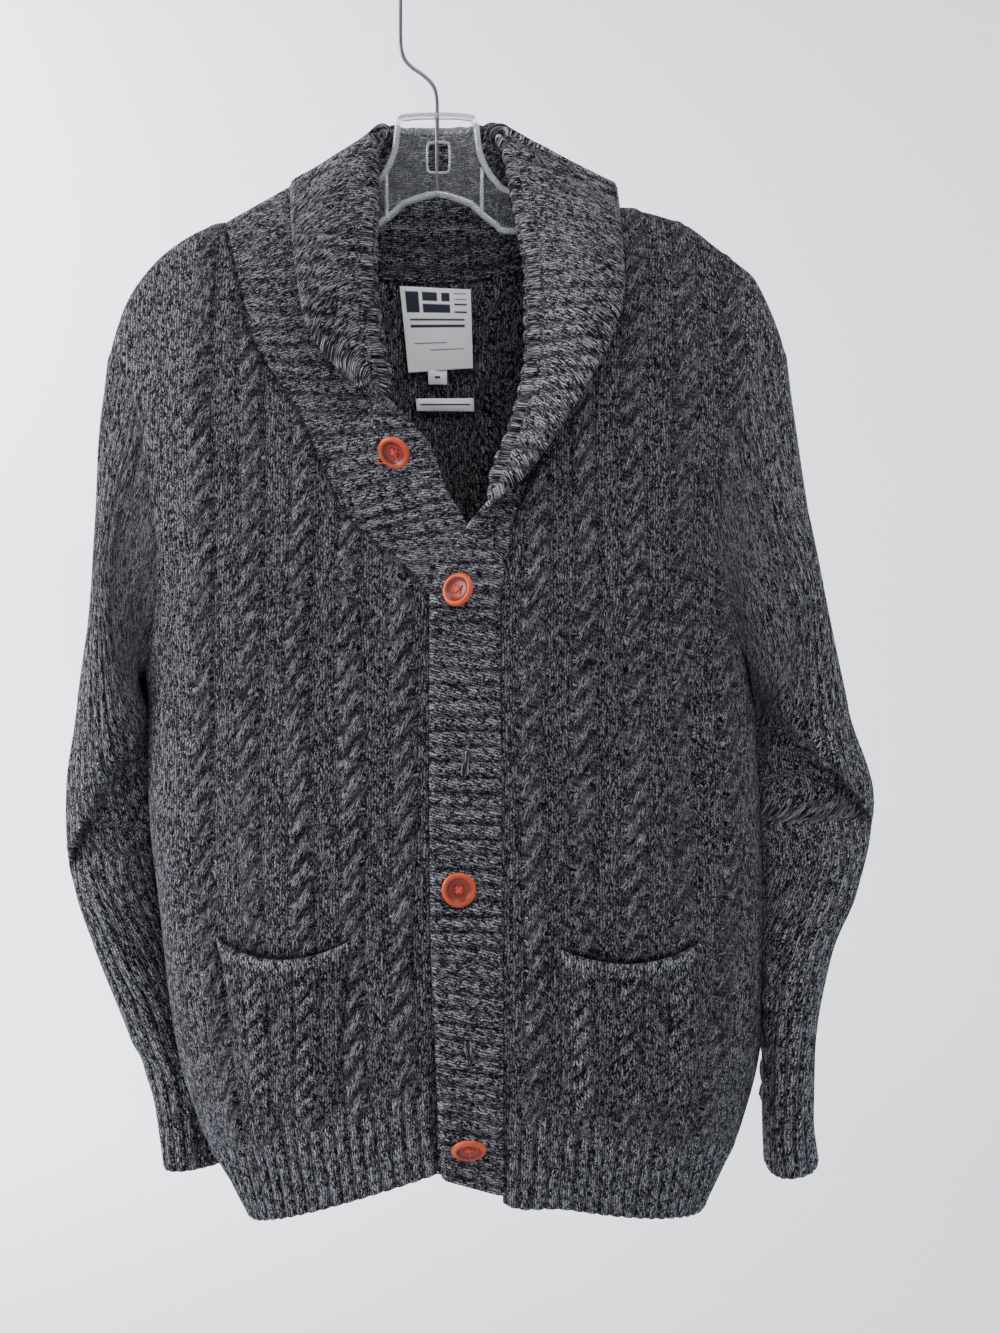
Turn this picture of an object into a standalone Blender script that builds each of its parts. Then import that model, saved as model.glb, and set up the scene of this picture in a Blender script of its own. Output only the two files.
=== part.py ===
import bpy
import bmesh
import numpy as np
from math import pi, cos, sin

# Shawl collar cardigan hung on a clear hanger. Tables and sizes are in millimetres, X to the viewer's
# right, Y away from the viewer, Z up, with zero where the hook rests on a rail.
MM = 0.001
CLOTH = 3.4             # thickness of the knitted wall
SEAM_HALF_GAP = 0.22    # each piece stops this far short of the seam line
SHARED_LEAN = 0.75
ARMHOLE_GAP = 0.9       # the sleeve starts this far from its seam, where it folds sharply under the arm
RIDGE = 10.0            # half thickness of the shoulder over the hanger arm
CROWN_DROP = 125.0      # depth below the shoulder over which the body fills out
UNDERARM = 0.54         # where the armhole starts, counted up each front from 0 at the hem to 1 at the shoulder
BACK_HEM_RISE = 20.0    # the back hem is this much higher in its middle than at the sides
NECK_MIDDLE = -3.0      # where the two collar halves meet at the back
NECK_STATIONS = (0.08, 0.18, 0.3, 0.42, 0.55, 0.7, 0.85, 1.0)
BAND_LIFT = 4.2         # the top button band stands this far out, over the under band
FOLD_GAP = 5.4          # clear space between the two leaves of the turned collar
BUTTON_RADIUS = 12.2
BUTTON_THICK = 4.6
HOLE_RADIUS = 1.25
HOLE_SPREAD = 2.7
WIRE_RADIUS = 1.8
WIRE_CLEARANCE = 0.35
HOOK_RADIUS = 27.0

# The shoulder line seen from the front, from one armpit side to the other.
SHOULDER = (
    ("x", "z"),
    (-262, -400), (-250, -335), (-239, -292), (-227, -257), (-218, -242), (-200, -222), (-174, -205),
    (-155, -198), (-109, -181), (-71, -170), (-35, -161), (0, -156), (35, -159), (76, -170), (120, -185),
    (151, -191), (175, -198), (186, -203), (203, -216), (220, -229), (231, -238), (240, -254), (254, -290),
    (266, -335), (278, -400),
)

# Cross-sections of the body from the hem up: its sides, how far it stands forward and back, and how square it is.
BODY = (
    ("z", "left", "right", "front", "back", "square"),
    (-935, -130, 186, 74, 62, 2.1),
    (-900, -148, 202, 80, 66, 2.1),
    (-858, -171, 221, 84, 66, 2.2),
    (-790, -187, 236, 84, 64, 2.3),
    (-704, -198, 238, 82, 62, 2.4),
    (-617, -208, 234, 80, 60, 2.5),
    (-560, -208, 231, 78, 58, 2.6),
    (-530, -211, 227, 77, 57, 2.7),
    (-480, -222, 238, 76, 56, 2.8),
    (-400, -240, 256, 74, 54, 3.0),
    (-300, -262, 278, 70, 52, 3.4),
    (-150, -300, 320, 66, 50, 4.0),
)

# Left front (viewer's left): its outer edge is the side seam, then the armhole; its inner edge takes the band.
FRONT_LEFT = (
    ("up", "out_x", "out_z", "in_x", "in_z", "sag"),
    (0.00, -133, -926, 3, -876, 0),
    (0.10, -171, -858, 2, -826, 0),
    (0.20, -187, -790, 2, -768, 0),
    (0.30, -198, -704, 1, -691, 0),
    (0.42, -208, -617, 0, -611, 0),
    (0.50, -208, -560, 0, -548, 0),
    (0.54, -211, -530, -1, -513, 0),
    (0.57, -207, -517, -3, -479, 0),
    (0.61, -203, -500, -40, -436, 0),
    (0.66, -199, -472, -59, -420, 0),
    (0.72, -199, -438, -77, -386, 0),
    (0.78, -204, -404, -97, -342, 0),
    (0.84, -209, -370, -113, -319, 0),
    (0.90, -216, -338, -131, -288, 0),
    (0.95, -226, -314, -143, -242, 0),
    (1.00, -239, -292, -155, -198, 0),
)

FRONT_RIGHT = (
    ("up", "out_x", "out_z", "in_x", "in_z", "sag"),
    (0.00, 191, -921, 49, -890, -3),
    (0.10, 221, -858, 48, -833, -1),
    (0.20, 236, -790, 48, -768, 0),
    (0.30, 238, -704, 47, -691, 0),
    (0.42, 234, -617, 47, -611, 0),
    (0.50, 231, -560, 46, -548, 0),
    (0.54, 227, -530, 46, -513, 0),
    (0.57, 222, -517, 46, -478, 0),
    (0.61, 216, -500, 50, -450, 0),
    (0.66, 209, -471, 56, -422, 0),
    (0.72, 202, -438, 69, -386, 0),
    (0.78, 204, -404, 86, -351, 0),
    (0.84, 208, -370, 99, -323, 0),
    (0.90, 218, -338, 112, -288, 0),
    (0.95, 233, -312, 121, -245, 0),
    (1.00, 254, -290, 120, -185, 0),
)

# The back neck seam from shoulder to shoulder.
NECK = (
    ("x", "z"),
    (-155, -198), (-130, -212), (-96, -225), (-51, -234), (0, -237), (50, -231), (91, -213), (109, -200),
    (120, -185),
)

# Collar and band, one row a station: 0 at the hem, 1 at the shoulder, 2 at the centre of the back.
# Roll is where the collar turns over, edge is its free edge, fold is 1 where it is turned over flat.
COLLAR_LEFT = (
    ("at", "roll_x", "roll_y", "roll_z", "edge_x", "edge_y", "edge_z", "fold", "bulge"),
    (0.00, 22, -78, -882, 41, -70, -884, 0.0, 0),
    (0.10, 22, -80, -828, 41, -80, -828, 0.0, 0),
    (0.30, 21, -80, -691, 40, -80, -691, 0.0, 0),
    (0.50, 20, -78, -548, 40, -78, -548, 0.0, 0),
    (0.57, 20, -72, -478, 38, -72, -474, 0.0, 0),
    (0.61, -5, -66, -432, 24, -66, -426, 0.0, 0),
    (0.66, -18, -63, -409, 10, -64, -401, 0.0, 0),
    (0.72, -34, -58, -371, -4, -60, -366, 0.0, 0),
    (0.78, -30, -54, -345, -22, -66, -347, 0.65, 0),
    (0.84, -32, -48, -320, -58, -68, -324, 1.0, 2),
    (0.90, -38, -42, -288, -90, -64, -283, 1.0, 4),
    (0.95, -43, -32, -235, -100, -52, -232, 1.0, 6),
    (1.00, -43, -4, -136, -106, -5, -174, 1.0, 0),
    (1.25, -35, 15, -124, -98, 38, -179, 1.0, 1),
    (1.60, -20, 25, -122, -60, 60, -206, 1.0, 4),
    (2.00, -3, 28, -121, -3, 64, -224, 1.0, 6),
)

COLLAR_RIGHT = (
    ("at", "roll_x", "roll_y", "roll_z", "edge_x", "edge_y", "edge_z", "fold", "bulge"),
    (0.00, 28, -80, -885, 6, -78, -878, 0.0, 0),
    (0.10, 25, -84, -828, 3, -84, -826, 0.0, 0),
    (0.30, 22, -84, -691, -2, -84, -691, 0.0, 0),
    (0.50, 22, -82, -548, -3, -82, -548, 0.0, 0),
    (0.57, 22, -78, -478, -3, -78, -478, 0.0, 0),
    (0.61, 30, -76, -450, 9, -76, -449, 0.0, 0),
    (0.66, 36, -72, -419, 30, -84, -420, 0.7, 0),
    (0.72, 41, -64, -390, 62, -84, -394, 1.0, 2),
    (0.78, 52, -58, -362, 86, -84, -363, 1.0, 4),
    (0.84, 60, -52, -334, 106, -80, -330, 1.0, 6),
    (0.90, 65, -44, -298, 124, -72, -296, 1.0, 8),
    (0.95, 65, -32, -246, 134, -58, -250, 1.0, 10),
    (1.00, 45, -4, -136, 131, -5, -176, 1.0, -1),
    (1.25, 35, 15, -124, 110, 38, -183, 1.0, -1),
    (1.60, 14, 25, -122, 60, 60, -206, 1.0, 4),
    (2.00, -3, 28, -121, -3, 64, -224, 1.0, 6),
)

# Sleeve sections from the armhole down: the two ends of the flattened tube and its half depth.
SLEEVE_LEFT = (
    ("down", "a_x", "a_y", "a_z", "b_x", "b_y", "b_z", "half"),
    (0.00, -239, 0, -292, -211, 0, -530, 46),
    (0.05, -242, 0, -318, -219, 2, -532, 46),
    (0.12, -246, 0, -352, -220, 4, -540, 46),
    (0.24, -248, 0, -412, -218, 7, -554, 45),
    (0.38, -253, 0, -480, -216, 11, -572, 42),
    (0.50, -262, 0, -548, -215, 18, -598, 38),
    (0.60, -268, -2, -613, -214, 30, -632, 34),
    (0.70, -265, 0, -668, -209, 48, -676, 30),
    (0.79, -246, 6, -728, -196, 66, -731, 27),
    (0.88, -219, 12, -797, -180, 74, -797, 24),
    (0.95, -203, 18, -848, -163, 82, -848, 22),
    (1.00, -198, 22, -901, -150, 86, -896, 21),
)

SLEEVE_RIGHT = (
    ("down", "a_x", "a_y", "a_z", "b_x", "b_y", "b_z", "half"),
    (0.00, 254, 0, -290, 227, 0, -530, 46),
    (0.05, 257, 0, -316, 234, 2, -532, 46),
    (0.12, 262, 0, -352, 236, 4, -540, 46),
    (0.24, 271, 0, -412, 237, 5, -554, 45),
    (0.38, 286, 2, -488, 238, 6, -570, 43),
    (0.50, 301, 3, -556, 240, 6, -594, 40),
    (0.60, 319, 3, -622, 241, 6, -628, 39),
    (0.70, 306, 4, -690, 243, 6, -684, 39),
    (0.79, 288, 4, -734, 243, 6, -730, 40),
    (0.88, 276, 5, -806, 242, 8, -800, 40),
    (0.95, 275, 9, -853, 243, 10, -854, 38),
    (1.00, 279, 12, -888, 245, 12, -895, 36),
)

# The cloth of each upper sleeve hangs over a slanting edge and steps back below it.
OVERHANG_LEFT = (("x", "z"), (-211, -536), (-224, -575), (-241, -603), (-254, -630))
OVERHANG_RIGHT = (("x", "z"), (224, -524), (240, -537), (255, -555), (273, -575), (284, -590))
OVERHANG_STEP = 17.0
OVERHANG_FADE = 80.0

# Patch pockets: mouth and foot corners, how far the mouth sags and how far it stands open.
POCKETS = {
    "pocket_left": ((-154, -715), (-56, -713), (-126, -838), (-66, -832), 14, 2.5),
    "pocket_right": ((87, -719), (190, -716), (88, -832), (184, -826), 13, 2.5),
}

# Hanger plate along X: upper edge, lower edge and half thickness.
HANGER = (
    ("x", "top", "bottom", "half"),
    (-216, -258, -268, 3.0), (-209, -247, -263, 3.4), (-196, -232, -249, 3.6), (-174, -216, -235, 3.6),
    (-150, -207, -227, 3.6), (-109, -190, -212, 3.8), (-80, -180, -204, 4.2), (-50, -171, -206, 5.0),
    (-44, -166, -202, 5.0), (-37, -157, -197, 5.0), (-31, -142, -192, 5.0), (-28, -122, -189, 5.0),
    (-22, -118, -185, 5.0), (0, -117, -179, 5.0), (22, -118, -185, 5.0), (28, -122, -189, 5.0),
    (31, -142, -192, 5.0), (37, -157, -197, 5.0), (44, -166, -202, 5.0), (50, -171, -206, 5.0),
    (80, -181, -206, 4.2), (118, -196, -218, 3.8), (150, -203, -223, 3.6), (174, -209, -230, 3.6),
    (198, -224, -243, 3.6), (213, -238, -256, 3.4), (221, -250, -262, 3.0),
)
WINDOW = (-7, 9, -161, -139)   # left, right, bottom and top of the opening in the hanger's neck

# Each button: where its middle is and how far it leans to each side.
BUTTONS = {
    "button_collar": (-27, -374, "left"),
    "button_upper": (18, -471, "right"),
    "button_lower": (18, -678, "right"),
    "button_hem": (25, -855, "right"),
}

COLOURS = {
    "knit": (0.09, 0.09, 0.105, 1), "label": (0.8, 0.79, 0.76, 1), "button": (0.42, 0.06, 0.015, 1),
    "clear_plastic": (0.8, 0.84, 0.87, 0.4), "wire": (0.12, 0.12, 0.13, 1),
}


def column(table, name):
    return np.array([row[table[0].index(name)] for row in table[1:]], float)


def smooth(table, key, name, at):
    """A named column read at one or many places, with no overshoot between rows."""
    x, y = column(table, key), column(table, name)
    step = np.diff(x)
    rise = np.diff(y) / step
    slope = np.zeros_like(y)
    same = rise[1:] * rise[:-1] > 0
    early, late = 2 * step[1:] + step[:-1], step[1:] + 2 * step[:-1]
    safe_a, safe_b = np.where(same, rise[:-1], 1), np.where(same, rise[1:], 1)
    slope[1:-1] = np.where(same, (early + late) / (early / safe_a + late / safe_b), 0)
    slope[0], slope[-1] = rise[0], rise[-1]
    at = np.clip(np.asarray(at, float), x[0], x[-1])
    i = np.clip(np.searchsorted(x, at, side="right") - 1, 0, len(step) - 1)
    t = (at - x[i]) / step[i]
    a = (1 + 2 * t) * (1 - t) ** 2 * y[i] + t * (1 - t) ** 2 * step[i] * slope[i]
    return a + t * t * (3 - 2 * t) * y[i + 1] - t * t * (1 - t) * step[i] * slope[i + 1]


def ramp(value, low, high):
    t = np.clip((value - low) / (high - low), 0, 1)
    return t * t * (3 - 2 * t)


def unit(vectors):
    length = np.linalg.norm(vectors, axis=-1, keepdims=True)
    return vectors / np.where(length < 1e-9, 1, length)


def shoulder_height(x):
    return smooth(SHOULDER, "x", "z", x)


def body_depth(x, z, side):
    """How far the cloth stands out from the hanger's plane at (x, z), on the front or the back."""
    left, right = smooth(BODY, "z", "left", z), smooth(BODY, "z", "right", z)
    square = smooth(BODY, "z", "square", z)
    across = np.clip(np.abs((x - (left + right) / 2) / ((right - left) / 2)), 0, 1)
    edge = np.clip(1 - across ** square, 0, 1) ** (1 / square)
    slope = (shoulder_height(x + 1) - shoulder_height(x - 1)) / 2
    below = np.clip(shoulder_height(x) - z, 0, None) / np.sqrt(1 + slope ** 2)
    ridge = RIDGE * np.sqrt(np.clip(1 - (1 - np.clip(below / RIDGE, 0, 1)) ** 2, 0, 1))
    full = smooth(BODY, "z", side, z)
    return edge * (ridge + (full - RIDGE) * (1 - np.exp(-below / CROWN_DROP)))


def lift(table, x, z, up):
    """The right front rises beside the band, which lies over the other one."""
    if table is not FRONT_RIGHT:
        return 0.0 * x
    away = np.abs(x - smooth(table, "up", "in_x", up))
    return BAND_LIFT * np.exp(-((away / 55) ** 2)) * (1 - ramp(up, 0.75, 0.97))


def outer_edge(table, up):
    """The side seam up to the underarm, then the armhole."""
    z = smooth(table, "up", "out_z", up)
    side = smooth(BODY, "z", "left" if table is FRONT_LEFT else "right", z)
    return np.where(up <= UNDERARM, side, smooth(table, "up", "out_x", up)), z


def front_point(table, across, up):
    """Across runs from the side seam (0) to the band (1)."""
    out_x, out_z = outer_edge(table, up)
    in_x, in_z = smooth(table, "up", "in_x", up), smooth(table, "up", "in_z", up)
    share = 1 - np.cos(across * pi / 2)
    x = out_x + (in_x - out_x) * share
    z = out_z + (in_z - out_z) * share + smooth(table, "up", "sag", up) * np.sin(pi * share)
    top_x = smooth(table, "up", "out_x", 1) * (1 - share) + smooth(table, "up", "in_x", 1) * share
    top_z = smooth(table, "up", "out_z", 1) * (1 - share) + smooth(table, "up", "in_z", 1) * share
    z = z + ramp(up, 0.8, 1) * (shoulder_height(top_x) - top_z)
    return np.stack([x, -body_depth(x, z, "front") - lift(table, x, z, up), z], axis=-1)


def back_point(across, up):
    """Across runs from the left side (0) to the right (1), its top edge along shoulders and neck."""
    share = (1 - np.cos(across * pi)) / 2
    left_x, left_z = outer_edge(FRONT_LEFT, up)
    right_x, right_z = outer_edge(FRONT_RIGHT, up)
    x = left_x + (right_x - left_x) * share
    z = left_z + (right_z - left_z) * share + BACK_HEM_RISE * np.sin(pi * share) * (1 - ramp(up, 0, 0.3))
    first, last = FRONT_LEFT[-1], FRONT_RIGHT[-1]
    top_x = first[1] + (last[1] - first[1]) * share
    level = first[2] + (last[2] - first[2]) * share
    inside = (top_x > NECK[1][0]) & (top_x < NECK[-1][0])
    top_z = np.where(inside, smooth(NECK, "x", "z", top_x), shoulder_height(top_x))
    z = z + np.clip((up - UNDERARM) / (1 - UNDERARM), 0, 1) ** 1.5 * (top_z - level)
    return np.stack([x, body_depth(x, z, "back"), z], axis=-1)


def across_at(top_x):
    """Where a point of the back's top edge lies across it."""
    first, last = FRONT_LEFT[-1][1], FRONT_RIGHT[-1][1]
    return np.arccos(1 - 2 * (top_x - first) / (last - first)) / pi


def collar_seam(table, at):
    """The line the collar is sewn to: the front's inner edge, then the back neck."""
    front = FRONT_LEFT if table is COLLAR_LEFT else FRONT_RIGHT
    if at <= 1:
        return front_point(front, np.array(1.0), np.array(at))
    start = NECK[1][0] if table is COLLAR_LEFT else NECK[-1][0]
    x = start + (NECK_MIDDLE - start) * (at - 1)
    return back_point(across_at(np.array(x)), np.array(1.0))


def collar_rows(table, stations, leaf=4, turn=4):
    """Points of the collar from its seam, over the roll, to its free edge."""
    rows = []
    front = FRONT_LEFT if table is COLLAR_LEFT else FRONT_RIGHT
    for at in stations:
        read = lambda name: float(smooth(table, "at", name, at))
        seam = collar_seam(table, at)
        roll = np.array([read("roll_x"), read("roll_y"), read("roll_z")])
        edge = np.array([read("edge_x"), read("edge_y"), read("edge_z")])
        fold = read("fold")
        along = unit(roll - seam)
        out = edge - roll
        out = unit(out - along * np.dot(out, along))
        face = np.array([0, -1.0, 0]) if at < 0.97 else (np.array([0, 1.0, 0]) if at > 1.1 else out)
        if fold < 0.99 or at < 0.97:
            out = unit(face - along * np.dot(face, along))
        radius = FOLD_GAP / 2
        bend = roll - along * (radius + CLOTH)
        points = []
        for i in range(leaf + 1):
            share = i / leaf
            points.append(seam + (bend - seam) * share)
        for i in range(1, turn + 1):
            angle = pi * i / turn
            points.append(bend + along * radius * sin(angle) + out * radius * (1 - cos(angle)))
        top = points[-1]
        for i in range(1, leaf + 1):
            share = i / leaf
            points.append(top + (edge - top) * share + out * read("bulge") * sin(pi * share))
        folded = np.array(points)
        count = len(folded)
        share = np.linspace(0, 1, count)
        if at <= 1:
            flat = seam + (edge - seam) * share[:, None]
            rise = BAND_LIFT if table is COLLAR_RIGHT else 0.0
            flat[:, 1] = -body_depth(flat[:, 0], flat[:, 2], "front") - rise * (1 - float(ramp(at, 0.75, 0.97)))
            flat[0] = seam
        else:
            flat = folded
        if at < 0.97 and fold > 0:
            under = body_depth(folded[leaf + turn:, 0], folded[leaf + turn:, 2], "front")
            clear = -(under + FOLD_GAP + 2.0 + float(lift(front, seam[0] * np.ones(1), 0, at)[0]))
            folded[leaf + turn:, 1] = np.minimum(folded[leaf + turn:, 1], clear)
        rows.append(flat + (folded - flat) * fold)
    return np.array(rows)


def armhole(table, spots):
    """The armhole loop from the shoulder down the front to the underarm and up the back."""
    ups = 1 - (1 - UNDERARM) * spots
    front = np.array([front_point(table, np.array(0.0), np.array(up)) for up in ups])
    side = np.array(0.0 if table is FRONT_LEFT else 1.0)
    back = np.array([back_point(side, np.array(up)) for up in ups])
    return front, back


def sleeve_ring(table, down, angles):
    a = np.array([float(smooth(table, "down", "a_" + k, down)) for k in "xyz"])
    b = np.array([float(smooth(table, "down", "b_" + k, down)) for k in "xyz"])
    near, far = max(down - 0.03, 0), min(down + 0.03, 1)
    axis = np.zeros(3)
    for place, sign in ((near, -1), (far, 1)):
        axis += sign * np.array([float(smooth(table, "down", "a_" + k, place)) for k in "xyz"])
        axis += sign * np.array([float(smooth(table, "down", "b_" + k, place)) for k in "xyz"])
    depth = unit(np.cross(unit(b - a), unit(axis)))
    depth = depth * (-1 if depth[1] > 0 else 1)
    half = float(smooth(table, "down", "half", down))
    c, s = np.cos(angles), np.sin(angles)
    power = 0.86
    c, s = np.sign(c) * np.abs(c) ** power, np.sign(s) * np.abs(s) ** power
    return (a + b) / 2 + np.outer(c, (a - b) / 2) + np.outer(s, depth * half)


def overhang(table, points):
    """The step under the slanting edge of the sleeve's front."""
    line = OVERHANG_LEFT if table is SLEEVE_LEFT else OVERHANG_RIGHT
    xs, zs = column(line, "x"), column(line, "z")
    best = np.full(len(points), 1e9)
    for i in range(len(xs) - 1):
        start, way = np.array([xs[i], zs[i]]), np.array([xs[i + 1] - xs[i], zs[i + 1] - zs[i]])
        spot = np.clip(((points[:, [0, 2]] - start) @ way) / (way @ way), 0, 1)
        gap = points[:, [0, 2]] - start - spot[:, None] * way
        span = np.linalg.norm(gap, axis=1)
        sign = np.sign(gap[:, 0] * way[1] - gap[:, 1] * way[0])
        sign = sign * (-1 if table is SLEEVE_RIGHT else 1)
        best = np.where(span < np.abs(best), span * sign, best)
    below = np.clip(-best, 0, None)
    return OVERHANG_STEP * ramp(below, 0, 9) * (1 - ramp(below, 20, OVERHANG_FADE))


def sleeve_rows(table, panel, downs, spots):
    front, back = armhole(panel, spots)
    loop = np.concatenate([front, back[-2:0:-1]])
    middle = (loop[0] + loop[len(front) - 1]) / 2
    reach = (loop[0] - loop[len(front) - 1]) / 2
    lean = ((loop - middle) @ reach) / (reach @ reach)
    angles = np.arccos(np.clip(lean, -1, 1))
    angles[len(front):] = 2 * pi - angles[len(front):]
    angles[len(front) - 1] = pi
    base = sleeve_ring(table, 0.0, angles)
    even = np.linspace(0, 2 * pi, len(angles), endpoint=False)
    rows = []
    for down in downs:
        mix = ramp(down, 0.0, 0.5)
        ring = sleeve_ring(table, down, angles * (1 - mix) + even * mix)
        fade = 1 - ramp(down, 0, 0.3)
        ring = ring + (loop - base) * fade
        facing = np.clip(-unit(ring - ring.mean(axis=0))[:, 1], 0, 1)
        if down > 0:
            ring[:, 1] += overhang(table, ring) * ramp(facing, 0.1, 0.6) * ramp(down, 0.05, 0.2)
        rows.append(ring)
    return np.array(rows)


def grid_normals(points, wrap=False):
    """Outward normals of a grid, by the difference of neighbours."""
    if wrap:
        along = np.roll(points, -1, 1) - np.roll(points, 1, 1)
    else:
        along = np.gradient(points, axis=1)
    return unit(np.cross(along, np.gradient(points, axis=0)))


def seam_key(point):
    return tuple(np.round(point * 20).astype(int))


def shared_normals(sheets):
    """Pieces that meet at a seam lean the same way there, unless the seam is a sharp valley."""
    sums = {}
    for points, normals, edges in sheets:
        for rows, cols in edges:
            for p, n in zip(points[rows, cols].reshape(-1, 3), normals[rows, cols].reshape(-1, 3)):
                sums[seam_key(p)] = sums.get(seam_key(p), np.zeros(3)) + n
    for points, normals, edges in sheets:
        for rows, cols in edges:
            for p, n in zip(points[rows, cols].reshape(-1, 3), normals[rows, cols].reshape(-1, 3)):
                both = unit(sums[seam_key(p)])
                if n @ both > SHARED_LEAN:
                    n[:] = both


def drawn_in(points, wrap=False):
    """The sheet's border pulled off the seam line."""
    inner = points.copy()
    for edge, beside in ((0, 1), (-1, -2)):
        gap = ARMHOLE_GAP if wrap and edge == 0 else SEAM_HALF_GAP
        inner[edge] += unit(points[beside] - points[edge]) * gap
        if not wrap:
            inner[:, edge] += unit(points[:, beside] - points[:, edge]) * SEAM_HALF_GAP
    return inner


def add_object(name, bm, material, smooth_faces=True):
    mesh = bpy.data.meshes.new(name)
    for face in bm.faces:
        face.smooth = smooth_faces
    bm.to_mesh(mesh)
    bm.free()
    obj = bpy.data.objects.new(name, mesh)
    bpy.context.scene.collection.objects.link(obj)
    mesh.materials.append(material)
    return obj


def make_material(name, slot):
    material = bpy.data.materials.new(name)
    material.use_nodes = True
    shader = material.node_tree.nodes["Principled BSDF"]
    shader.inputs["Base Color"].default_value = COLOURS[slot]
    shader.inputs["Roughness"].default_value = 0.25 if slot in ("button", "clear_plastic") else 0.8
    shader.inputs["Metallic"].default_value = 1.0 if slot == "wire" else 0.0
    return material


def sheet_object(name, outer, normals, thick, material, wrap=False):
    """A closed wall from a grid of outer points: rows, then columns."""
    outer = drawn_in(outer, wrap)
    inner = outer - normals * thick
    bm = bmesh.new()
    faces = [[[bm.verts.new(p * MM) for p in row] for row in side] for side in (outer, inner)]
    rows, cols = outer.shape[:2]
    spans = cols if wrap else cols - 1
    top, low = faces
    for i in range(rows - 1):
        for j in range(spans):
            k = (j + 1) % cols
            bm.faces.new((top[i][j], top[i][k], top[i + 1][k], top[i + 1][j]))
            bm.faces.new((low[i][j], low[i + 1][j], low[i + 1][k], low[i][k]))
    for j in range(spans):
        k = (j + 1) % cols
        bm.faces.new((top[0][j], low[0][j], low[0][k], top[0][k]))
        bm.faces.new((top[-1][j], top[-1][k], low[-1][k], low[-1][j]))
    if not wrap:
        for i in range(rows - 1):
            bm.faces.new((top[i][0], top[i + 1][0], low[i + 1][0], low[i][0]))
            bm.faces.new((top[i][-1], low[i][-1], low[i + 1][-1], top[i + 1][-1]))
    bmesh.ops.recalc_face_normals(bm, faces=bm.faces)
    return add_object(name, bm, material)


def patch(name, corners, sag, gape, panel, offset, thick, material):
    """A pocket laid on a front: its points are the front's, moved out."""
    (x0, z0), (x1, z1), (x2, z2), (x3, z3) = corners
    rows = []
    for v in np.linspace(0, 1, 8):
        row = []
        for u in np.linspace(0, 1, 8):
            x = (x0 * (1 - u) + x1 * u) * (1 - v) + (x2 * (1 - u) + x3 * u) * v
            z = (z0 * (1 - u) + z1 * u) * (1 - v) + (z2 * (1 - u) + z3 * u) * v - sag * sin(pi * u) * (1 - v) ** 2
            up = np.interp(z, column(panel, "out_z"), column(panel, "up"))
            x_array = np.array(float(x))
            depth = body_depth(x_array, np.array(float(z)), "front") + lift(panel, x_array, 0, np.array(up))
            row.append((x, -float(depth) - offset - gape * sin(pi * u) * (1 - v) ** 2, z))
        rows.append(row)
    outer = np.array(rows, float)
    normals = grid_normals(outer)
    normals *= np.where(normals[..., 1:2] > 0, -1, 1)
    sheet_object(name, outer, normals, thick, material)


def label(name, x0, x1, z0, z1, thick, offset, material):
    """A flat label inside the back neck, along the back's inner face."""
    rows = []
    for z in np.linspace(z0, z1, 5):
        xs = np.linspace(x0, x1, 5)
        back = body_depth(xs, np.full(5, float(z)), "back")
        rows.append(np.stack([xs, back - CLOTH - offset, np.full(5, z)], axis=-1))
    outer = np.array(rows, float)
    normals = grid_normals(outer)
    normals *= np.where(normals[..., 1:2] > 0, -1, 1)
    sheet_object(name, outer, -normals, thick, material)


def lathe(profile, segments):
    bm = bmesh.new()
    verts = [bm.verts.new((r, 0, h)) for r, h in profile]
    edges = [bm.edges.new(pair) for pair in zip(verts, verts[1:])]
    bmesh.ops.spin(bm, geom=verts + edges, cent=(0, 0, 0), axis=(0, 0, 1), angle=2 * pi, steps=segments)
    bmesh.ops.remove_doubles(bm, verts=bm.verts, dist=1e-6)
    bmesh.ops.recalc_face_normals(bm, faces=bm.faces)
    return bm


def placed(bm, centre, out):
    """Turn a lathed piece so that its axis looks outwards, then move it."""
    z = unit(np.array(out, float))
    x = unit(np.cross(np.array([0, 0, 1.0]), z))
    y = np.cross(z, x)
    for vert in bm.verts:
        local = np.array(vert.co)
        vert.co = (np.array(centre) * MM) + x * local[0] + y * local[1] + z * local[2]


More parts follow.
